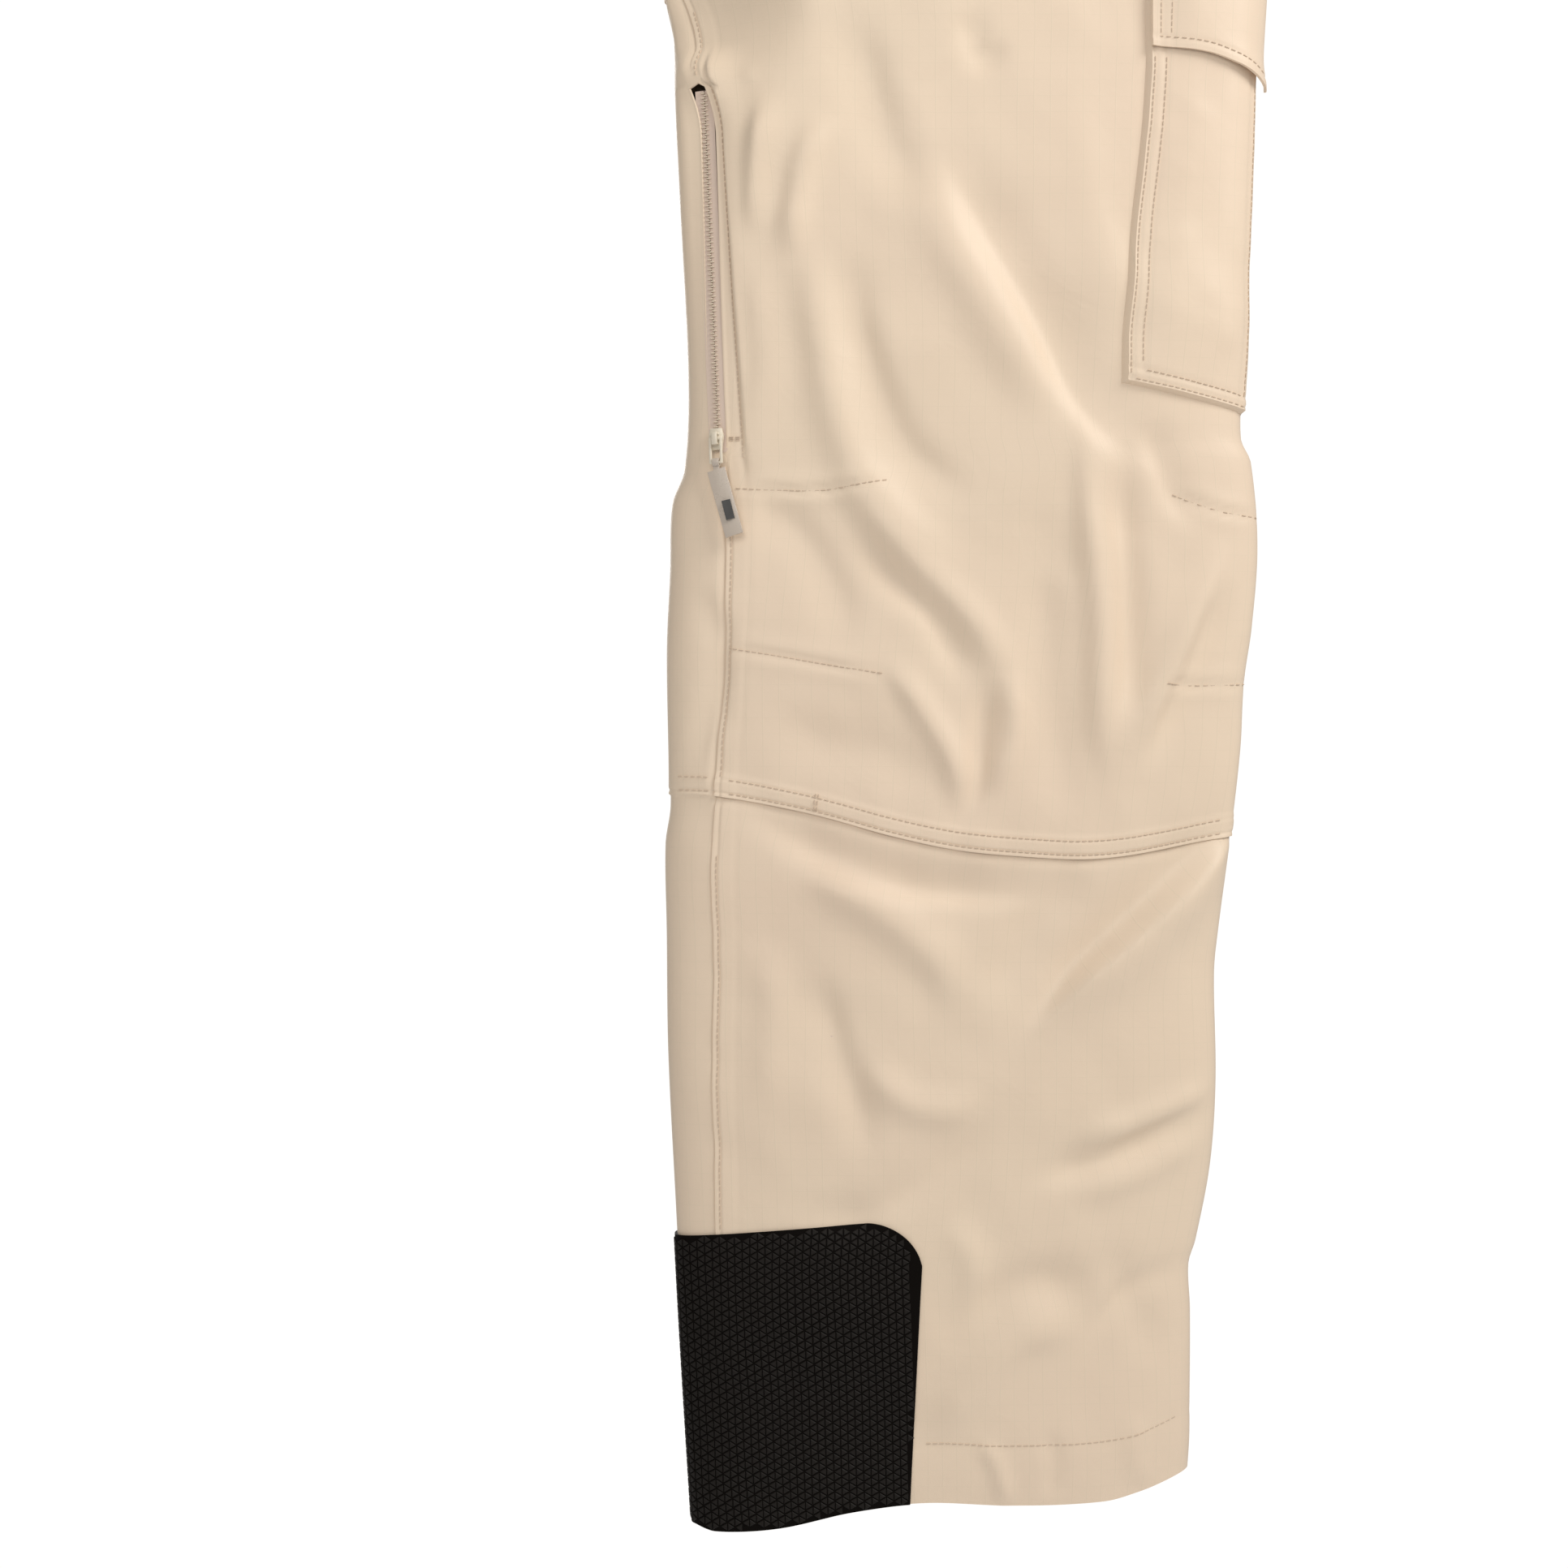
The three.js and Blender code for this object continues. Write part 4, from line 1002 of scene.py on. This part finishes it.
def guard_top(x):
    corner = np.clip(x - GUARD_CORNER_X, 0, GUARD_CORNER)
    curve = np.sqrt(GUARD_CORNER ** 2 - corner ** 2)
    return 147.7 + (np.minimum(x, GUARD_CORNER_X) + 145) * 0.09 - GUARD_CORNER + curve


def guard_front(z):
    return angle_at(-25.5 + 0.05 * (np.asarray(z, float) - 60), z)


def guard_back(z):
    return TURN - guard_front(z)


def build_guard(half):
    side = HALVES[half]
    hem = shifted(hem_line, -0.3)
    angle, z = panel_grid(guard_front, guard_back, hem, guard_top, HEM_LEVEL, 100, 1.6)

    def place(a, h, out=GUARD_OUT):
        return surface(a, h, out, side)

    outer, inner = to_row(place(angle, z), side), to_row(place(angle, z, 0.15), side)
    thing = shell(f"{half}_scuff_patch", outer, inner, guard_rubber, even_uv(angle, z))
    settle(thing, f"{half}_half", f"{half}_scuff_guard")
    column = STUD_CELL * math.sqrt(3) / 2
    start, end = np.interp(guard_front(60), _angles, _lengths), np.interp(guard_back(60), _angles, _lengths)
    lengths, heights, points = [], [], []
    for k in range(int((end - start) / column)):
        for m in range(int(160 / (STUD_CELL / 2))):
            pointing = 1 if (k + m) % 2 else -1
            lengths.append(start + (k + 0.5 - pointing / 6) * column)
            heights.append(m * STUD_CELL / 2)
            points.append(pointing)
    a = np.interp(lengths, _lengths, _angles)
    h, pointing = np.array(heights), np.array(points)
    x = wall(a, h)[:, 0]
    length = np.interp(a, _angles, _lengths)
    past_front = length - np.interp(guard_front(h), _angles, _lengths)
    before_back = np.interp(guard_back(h), _angles, _lengths) - length
    within = (h > hem_line(x) + 1.8) & (h < guard_top(x) - 1.8) & (past_front > 1.9) & (before_back > 1.9)
    a, h, pointing = a[within], h[within], pointing[within]
    spot = to_row(place(a, h), side)
    step_a = to_row(place(a + 0.01, h), side) - spot
    step_h = to_row(place(a, h + 1), side) - spot
    facing = np.cross(step_a, step_h) * (1 if side < 0 else -1)
    facing /= np.linalg.norm(facing, axis=1)[:, None]
    if facing[np.argmax(-spot[:, 1] * -side)][1] * side < 0:
        facing = -facing
    along = step_a / np.linalg.norm(step_a, axis=1)[:, None] * pointing[:, None]
    made = stamp(f"{half}_scuff_studs", spot, along, facing, stud_mesh, stud_rubber_painted_sheen)
    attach(made, f"{half}_half")


for half_name in HALVES:
    build_cuff(half_name)
    build_guard(half_name)

# ---------------------------------------------------------------------------
# Cargo pocket and flap
# ---------------------------------------------------------------------------

POCKET_SIDE = 0.03


def pocket_bottom(x):
    return 577.5 - 14.5 * np.clip((x - 80) / 65, 0, 1.1)


def pocket_height(angle, z):
    """How far the pouch stands off the leg: steep gusset at the left and bottom, soft pillow between."""
    x = wall(angle, z)[..., 0]
    from_left = x - pocket_left(z)
    from_side = np.interp(angle, _angles, _lengths) - np.interp(POCKET_SIDE, _angles, _lengths)
    up = z - pocket_bottom(x)
    rise = ease(from_left, 0, 1.6) * ease(up, 0, 1.8) * ease(from_side, -0.5, 5)
    pillow = ease(from_left, 0, 24) * ease(from_side, 0, 26) * ease(up, 0, 40)
    out = 0.5 + rise * (2.9 + 2.6 * pillow)
    out += -0.55 * near_edge(from_left - 2.8, 0.8) - 0.5 * near_edge(from_left - 8.2, 1.4) * ease(up, 0, 10)
    low_rows = -0.5 * near_edge(from_side - 9.5, 1.1) - 0.5 * near_edge(up - 2.8, 0.8)
    out += low_rows - 0.4 * near_edge(up - 8, 1.2)
    out += 0.7 * rise * noise_field(x * 0.8 + z * 0.5, z, 34, 71) + 0.3 * rise * noise_field(x, z, 12, 72)
    return out


def pocket_surface(angle, z, lift, side):
    return surface(angle, z, pocket_height(angle, z) + lift, side)


def flap_edge(x):
    return line_through([(88, 746.5), (114, 743), (126, 739), (142, 732), (153, 722)])(x)


FLAP_LEFT = 90.5


def flap_height(angle, z):
    x = wall(angle, z)[..., 0]
    over = 3.6 + 3.4 * ease(x, FLAP_LEFT, 110) * ease(-x, -150, -128)
    hang = ease(FLAP_TOP - z, 1, 26)
    up = z - flap_edge(x)
    out = 0.7 + (over + 1.6) * hang + 1.8 * near_edge(up, 9) * ease(x, 100, 150)
    out += -0.45 * near_edge(up - 5, 0.9) - 0.4 * near_edge(x - 94.5, 0.8) - 0.4 * near_edge(x - 99, 0.8)
    out += -0.4 * near_edge(FLAP_TOP - z - 6, 1) + 0.6 * noise_field(x, z * 0.7, 26, 81)
    return out


def flap_surface(angle, z, lift, side):
    return surface(angle, z, flap_height(angle, z) + lift, side)


POUCH_LOW = 570
FLAP_LOW = 745


def build_pocket(half):
    side = HALVES[half]
    step = 1.5 * 1
    right = always(POCKET_SIDE)
    left = lambda z: angle_at(pocket_left(z), z)
    angle, z = panel_grid(right, left, pocket_bottom, always(POCKET_TOP), POUCH_LOW, POCKET_TOP, step)
    outer = to_row(pocket_surface(angle, z, 0, side), side)
    inner = to_row(pocket_surface(angle, z, -0.5, side), side)
    pouch = shell(f"{half}_cargo_pouch", outer, inner, shell_cloth, even_uv(angle, z))
    finish_panel(pouch, half, f"{half}_cargo_pocket")

    left = lambda z: angle_at(FLAP_LEFT, z)
    angle, z = panel_grid(right, left, flap_edge, always(FLAP_TOP), FLAP_LOW, FLAP_TOP, step)
    outer = to_row(flap_surface(angle, z, 0, side), side)
    inner = to_row(flap_surface(angle, z, -1.3, side), side)
    flap = shell(f"{half}_flap_cloth", outer, inner, shell_cloth, even_uv(angle, z))
    settle(flap, f"{half}_cargo_flap_part", f"{half}_cargo_flap")


for half_name in HALVES:
    build_pocket(half_name)

# ---------------------------------------------------------------------------
# Zips, tags and small fittings: the modelled shapes with softened edges
# ---------------------------------------------------------------------------

def softened(name, cad_node, material, body, bevel):
    """A copy of a modelled piece with its flat faces joined and its edges rounded."""
    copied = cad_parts[cad_node].data.copy()
    copied.materials.clear()
    copied.materials.append(material)
    thing = bpy.data.objects.new(name, copied)
    bpy.context.scene.collection.objects.link(thing)
    weld = thing.modifiers.new("weld", "WELD")
    weld.merge_threshold = 0.00002
    dissolve = thing.modifiers.new("dissolve", "DECIMATE")
    dissolve.decimate_type = "DISSOLVE"
    dissolve.angle_limit = math.radians(1)
    round_edges = thing.modifiers.new("round", "BEVEL")
    round_edges.width = bevel * MM
    round_edges.segments = 3
    round_edges.limit_method = "ANGLE"
    round_edges.angle_limit = math.radians(35)
    round_edges.use_clamp_overlap = True
    bpy.context.view_layer.update()
    mesh = bpy.data.meshes.new_from_object(thing.evaluated_get(bpy.context.evaluated_depsgraph_get()))
    thing.modifiers.clear()
    thing.data = mesh
    mesh.polygons.foreach_set("use_smooth", [True] * len(mesh.polygons))
    mesh.set_sharp_from_angle(angle=math.radians(50))
    settle(thing, body, cad_node)


def corners_of(cad_node):
    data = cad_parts[cad_node].data
    points = np.zeros(len(data.vertices) * 3)
    data.vertices.foreach_get("co", points)
    return np.unique(points.reshape(-1, 3).round(7), axis=0)


def bar_axes(cad_node):
    """Foot, head and the across and outward directions of a straight coil bar."""
    points = corners_of(cad_node)
    points = points[np.argsort(points[:, 2])]
    low, high = points[:4], points[-4:]
    foot, head = low.mean(0), high.mean(0)
    along = (head - foot) / np.linalg.norm(head - foot)
    spans = [(q - low[0]) for q in low[1:]]
    spans.sort(key=np.linalg.norm)
    across = spans[1] / np.linalg.norm(spans[1])
    out = np.cross(across, along)
    if out[1] * np.sign(foot[1]) < 0:
        out = -out
    return foot, head, along, np.cross(along, out), out


COIL_PITCH = 1.25
COIL_PROUD = 1.2
TAPE_EDGE = 4.8
TAPE_THICK = 0.25
TAPE_ROWS = 40


def build_coil(name, cad_node, body):
    """Two tapes with a row of teeth that mesh between them."""
    foot, head, along, across, out = bar_axes(cad_node)
    length = np.linalg.norm(head - foot)
    pitch = COIL_PITCH * MM
    count = int(length / pitch)
    at = (np.arange(count) + 0.5) * pitch
    shift = np.where(np.arange(count) % 2, 0.75, -0.75) * MM
    spots = foot + np.outer(at, along) + np.outer(shift, across) + out * (COIL_PROUD - 0.2) * MM
    teeth = stamp(f"{name}_teeth", spots, np.tile(across, (count, 1)), np.tile(out, (count, 1)), tooth_shape,
                  coil_plastic)
    settle(teeth, body, cad_node)
    for label, sign in (("a", -1), ("b", 1)):
        profile = [(0.25, -0.2), (0.25, 0.45), (1.4, 0.5), (TAPE_EDGE, 0.35), (TAPE_EDGE, -0.3)]
        ups = np.linspace(0, length, TAPE_ROWS)
        grid = np.array([[foot + u * along + sign * a * MM * across + h * MM * out for u in ups]
                         for a, h in profile])
        below = grid - TAPE_THICK * MM * out
        uv = np.array([[(a * MM, u) for u in ups] for a, _ in profile])
        tape = shell(f"{name}_tape_{label}", grid, below, lining_cloth, uv)
        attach(tape, body)


FITTINGS = []
for half_name in HALVES:
    for stem in ("vent", "hand_pocket"):
        build_coil(f"{half_name}_{stem}", f"{half_name}_{stem}_coil", f"{half_name}_half")
    FITTINGS += [
        (f"{half_name}_boot_hook", steel, f"{half_name}_half", "hook", 0.3),
        (f"{half_name}_waist_tab", shell_cloth, f"{half_name}_waist_tab_part", "shell", 0.8),
        (f"{half_name}_belt_loop_front", shell_cloth, f"{half_name}_half", "shell", 0.3),
        (f"{half_name}_belt_loop_side", shell_cloth, f"{half_name}_half", "shell", 0.3),
        (f"{half_name}_vent_tag", tag_plastic, f"{half_name}_vent_tag_part", "tag", 0.4),
    ]
build_coil("fly", "fly_coil", "left_half")
FITTINGS += [
    ("waist_snap", snap_paint, "left_half", "snap", 0.6),
    ("fly_shield", shell_cloth, "left_half", "shell", 0.2),
]
for stem in ("left_vent", "right_vent", "left_hand_pocket", "right_hand_pocket", "fly"):
    FITTINGS += [
        (f"{stem}_slider", slider_paint, f"{stem}_slider_part", "zip_slider", 0.35),
        (f"{stem}_pull", cord_ivory, f"{stem}_pull_part", "pull_cord", 0.5),
    ]
for cad_node, material, body, slot_name, bevel in FITTINGS:
    softened(f"{cad_node}_soft", cad_node, material, body, bevel)


def build_snap(half):
    """The lower half of the flap's snap: a low round cap on the pouch."""
    side = HALVES[half]
    x, z = 112.0, 754.0
    angle = angle_at(x, z)
    centre = to_row(pocket_surface(angle, z, -0.3, side), side)
    up = to_row(pocket_surface(angle, z + 3, -0.3, side), side) - centre
    across = to_row(pocket_surface(angle_at(x + 3, z), z, -0.3, side), side) - centre
    up /= np.linalg.norm(up)
    across -= up * (across @ up)
    across /= np.linalg.norm(across)
    out = np.cross(across, up)
    if out[1] * side < 0:
        out = -out
    profile = [(0, 5.0), (0.9, 5.0), (1.25, 4.6), (1.25, 3.3), (0.85, 2.9), (0.85, 1.9), (1.35, 1.5)]
    around = 40
    vertices, faces = [], []
    for h, radius in profile:
        for k in range(around):
            a = TURN * k / around
            vertices.append(centre + MM * (out * h + radius * (across * math.cos(a) + up * math.sin(a))))
    for ring in range(len(profile) - 1):
        here, above = ring * around, (ring + 1) * around
        for k in range(around):
            m = (k + 1) % around
            faces.append((here + k, here + m, above + m, above + k))
    faces.append(tuple(reversed(range(around))))
    faces.append(tuple(range((len(profile) - 1) * around, len(profile) * around)))
    if signed_volume(vertices, faces[:-2]) < 0:
        faces = [f[::-1] for f in faces]
    cap = new_object(f"{half}_cargo_snap_cap", vertices, faces, snap_paint)
    settle(cap, f"{half}_half", f"{half}_cargo_snap")


def build_mark(half):
    """A plain black bar printed on the front of the vent tag."""
    points = corners_of(f"{half}_vent_tag")
    low = points[points[:, 2] < points[:, 2].min() + 6 * MM]
    centre = points.mean(0)
    tip = low.mean(0)
    down = (tip - centre) / np.linalg.norm(tip - centre)
    out = np.cross(down, (1, 0, 0))
    out = out / np.linalg.norm(out)
    if out[1] * np.sign(centre[1]) < 0:
        out = -out
    across = np.cross(out, down)
    face = max((p - tip) @ out for p in low)
    origin = tip - 13 * MM * down + (face + 0.04 * MM) * out
    vertices = []
    for h in (0, 0.12):
        for a, d in ((-2.2, -5), (2.2, -5), (2.2, 5), (-2.2, 5)):
            vertices.append(origin + a * MM * across + d * MM * down + h * MM * out)
    faces = [(0, 3, 2, 1), (4, 5, 6, 7), (0, 1, 5, 4), (1, 2, 6, 5), (2, 3, 7, 6), (3, 0, 4, 7)]
    if signed_volume(vertices, faces) < 0:
        faces = [f[::-1] for f in faces]
    mark = new_object(f"{half}_tag_bar", vertices, faces, mark_black, smooth=False)
    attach(mark, f"{half}_vent_tag_part")


# ---------------------------------------------------------------------------
# Waistband, and the cloth that crosses the fold line
# ---------------------------------------------------------------------------

def band_layer(angle, z):
    up = z - HIP_TOP
    out = 1.0 + 0.4 * ease(up, 1, 6) * ease(WAISTBAND - up, 0, 5)
    x = wall(angle, z)[..., 0]
    out -= 0.65 * ease(x, -46, -30) * ease(-x, -58, -46) * (np.sin(angle) > 0)
    return out - 0.35 * near_edge(up - 3, 0.8) - 0.35 * near_edge(up - WAISTBAND + 3, 0.8)


def build_waistband(half):
    side = HALVES[half]
    angle, z = panel_grid(always(-FOLD_SLOT), always(FOLD_SLOT), always(HIP_TOP - 1.5), always(WAIST_TOP),
                          HIP_TOP, WAIST_TOP, GRID_STEP)
    out = band_layer(angle, z) + 0.25 * noise_field(np.interp(angle, _angles, _lengths), z, 14, 91)
    outer, inner = to_row(wall(angle, z, out), side), to_row(wall(angle, z, out - 2.2), side)
    band = shell(f"{half}_waistband_cloth", outer, inner, shell_cloth, even_uv(angle, z))
    finish_panel(band, half, f"{half}_waistband")


for half_name in HALVES:
    build_mark(half_name)
    build_snap(half_name)
    build_waistband(half_name)


def build_bridge(name, edge_angle, low, high, reach, out_at):
    """A strip of cloth round the fold line, from the left half to the right half."""
    z = np.linspace(low, high, int((high - low) / 4))
    across = np.linspace(-1, 1, 13)
    edge = wall(edge_angle, z, out_at)
    left = to_row(edge, -1)
    grid = np.empty((len(across), len(z), 3))
    inside = np.empty_like(grid)
    for k, a in enumerate(across):
        bulge = math.sqrt(max(1 - a * a, 0)) * reach
        grid[k] = left
        grid[k, :, 1] = left[:, 1] * -a
        grid[k, :, 0] = left[:, 0] - bulge * MM + 1.5 * MM * abs(a)
        inside[k] = grid[k] + np.array([CLOTH_THICK * MM, 0, 0])
    uv = np.array([[(k * 0.003, h * MM) for h in z] for k in range(len(across))])
    strip = shell(name, grid, inside, shell_cloth, uv)
    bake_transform(strip)


build_bridge("centre_front_strip", FOLD_SLOT, CROTCH - 12, WAIST_TOP - 0.5, 2.2, 1.0)
build_bridge("centre_back_strip", TURN - FOLD_SLOT, CROTCH - 12, WAIST_TOP - 0.5, 0.4, 0.2)

# ---------------------------------------------------------------------------
# Rows of stitches
# ---------------------------------------------------------------------------

def seam_path(start, end, shift, count=14):
    z = np.linspace(start, end, count)
    return list(zip(seam_x(z) + shift, z))


def across_path(line, start, end, shift, count=14):
    x = np.linspace(start, end, count)
    return list(zip(x, line(x) + shift))


def build_stitches(half):
    rows = Stitching(half)
    for z_low, z_high in ((152, 340), (380, VENT_BOTTOM - 4), (VENT_TOP + 6, CROTCH - 20)):
        rows.row(seam_path(z_low, z_high, 2.3), thigh_layer)
    vent_z = np.linspace(VENT_BOTTOM - 2, VENT_TOP + 3, 16)
    rows.row(list(zip(seam_x(vent_z) + strip_edge(vent_z) + 0.2, vent_z)), thigh_layer)
    tack_x = seam_x(VENT_BOTTOM + 8) + strip_edge(VENT_BOTTOM + 8)
    for height in (7.2, 8.0, 8.8):
        rows.row([(tack_x - 6.4, VENT_BOTTOM + height), (tack_x - 0.4, VENT_BOTTOM + height)], thigh_layer)
    for back in (False, True):
        rows.row(across_path(knee_line, -118, 132, 1.6), thigh_layer, back)
        rows.row(across_path(knee_line, -118, 132, 8.5), thigh_layer, back)
        rows.row(across_path(hem_line, -20, 106, 30), thigh_layer, back)
    for height in (HIP_TOP + 2.4, WAIST_TOP - 3):
        for back in (False, True):
            rows.row([(x, height) for x in (-144, -100, -40, 20, 66)], band_layer, back, lift=0.55)
    for shift in (1.6, 8.5):
        rows.row(across_path(knee_line, -144, -128, shift), inner_layer)
    for points in DARTS:
        rows.row(points, thigh_layer)
    rows.row([(-76, 362.5), (-75, 370.5)], thigh_layer)
    rows.row([(-74.6, 362.2), (-73.6, 370.2)], thigh_layer)
    rows.row([(pocket_left(z) + 2.8, z) for z in np.linspace(582, 742, 12)], pocket_height)
    rows.row([(pocket_left(z) + 8.2, z) for z in np.linspace(588, 742, 12)], pocket_height)
    rows.row(across_path(pocket_bottom, 83, 139, 2.8), pocket_height)
    rows.row(across_path(pocket_bottom, 88, 137, 8), pocket_height)
    rows.row([(outer_edge(z) - 2.6, z) for z in np.linspace(572, 728, 12)], pocket_height)
    rows.stamp(f"{half}_stitches", f"{half}_half")
    flap = Stitching(half)
    flap.row(across_path(flap_edge, 93, 144, 5), flap_height)
    flap.row([(94.5, z) for z in (752, 780, FLAP_TOP - 6)], flap_height)
    flap.row([(99, z) for z in (752, 780, FLAP_TOP - 6)], flap_height)
    flap.row([(x, FLAP_TOP - 6) for x in (93, 120, 144)], flap_height)
    flap.stamp(f"{half}_flap_stitches", f"{half}_cargo_flap_part")


for half_name in HALVES:
    build_stitches(half_name)

# ---------------------------------------------------------------------------
# Stage, lights and camera
# ---------------------------------------------------------------------------

white, _, white_shader = start_material("studio_white")
white_shader.inputs["Base Color"].default_value = (0.93, 0.93, 0.93, 1)
white_shader.inputs["Roughness"].default_value = 0.9
white_shader.inputs["Emission Color"].default_value = (1, 1, 1, 1)
white_shader.inputs["Emission Strength"].default_value = 0.2
FLOOR_DROP = 1.1
FLOOR_REACH = 3.4
FLOOR_SIDES = 96
floor_z = cad_box[0][2] - FLOOR_DROP
floor_corners = []
for k in range(FLOOR_SIDES):
    turn = TURN * k / FLOOR_SIDES
    floor_corners.append((FLOOR_REACH * math.cos(turn), FLOOR_REACH * math.sin(turn), floor_z))
floor = new_object("floor", floor_corners, [tuple(range(FLOOR_SIDES))], white)

SOFT_LIGHT = 0.34
world = bpy.data.worlds.new("studio")
world.use_nodes = True
sky = world.node_tree.nodes["Background"]
sky.inputs[0].default_value = (1.0, 0.985, 0.965, 1)
path = world.node_tree.nodes.new("ShaderNodeLightPath")
brightness = world.node_tree.nodes.new("ShaderNodeMix")
brightness.inputs[2].default_value = SOFT_LIGHT
brightness.inputs[3].default_value = 1.05
world.node_tree.links.new(path.outputs["Is Camera Ray"], brightness.inputs[0])
world.node_tree.links.new(brightness.outputs[0], sky.inputs[1])
bpy.context.scene.world = world
bpy.context.scene.view_settings.view_transform = "Standard"


def area_light(name, place, target, energy, size, colour):
    data = bpy.data.lights.new(name, "AREA")
    data.energy = energy
    data.size = size
    data.color = colour
    lamp = bpy.data.objects.new(name, data)
    bpy.context.scene.collection.objects.link(lamp)
    lamp.location = place
    lamp.rotation_euler = (Vector(target) - Vector(place)).to_track_quat("-Z", "Y").to_euler()


CAMERA_X = (-91 - MIDDLE_X) * MM
CAMERA_Z = (376.5 + HEM_Z) * MM
FRAME_WIDTH = 0.786
LENS = 60
SENSOR = 36
front_y = -(FOLD_GAP + 2 * LEG_HALF_DEPTH) * MM
middle = (0, 0, CAMERA_Z)
area_light("key", (1.3, -0.95, CAMERA_Z + 1.4), middle, 25, 0.9, (1.0, 0.975, 0.94))
area_light("fill", (-0.4, -2.2, CAMERA_Z + 0.9), middle, 14.5, 1.1, (1.0, 0.96, 0.91))
area_light("back", (-0.7, 2.2, CAMERA_Z + 1.0), (0, 0, CAMERA_Z + 0.2), 26, 1.4, (1.0, 0.98, 0.95))

camera_data = bpy.data.cameras.new("camera")
camera_data.lens = LENS
camera_data.sensor_width = SENSOR
camera = bpy.data.objects.new("camera", camera_data)
bpy.context.scene.collection.objects.link(camera)
camera.location = (CAMERA_X, front_y - FRAME_WIDTH * LENS / SENSOR, CAMERA_Z)
camera.rotation_euler = (math.pi / 2, 0, 0)
bpy.context.scene.camera = camera
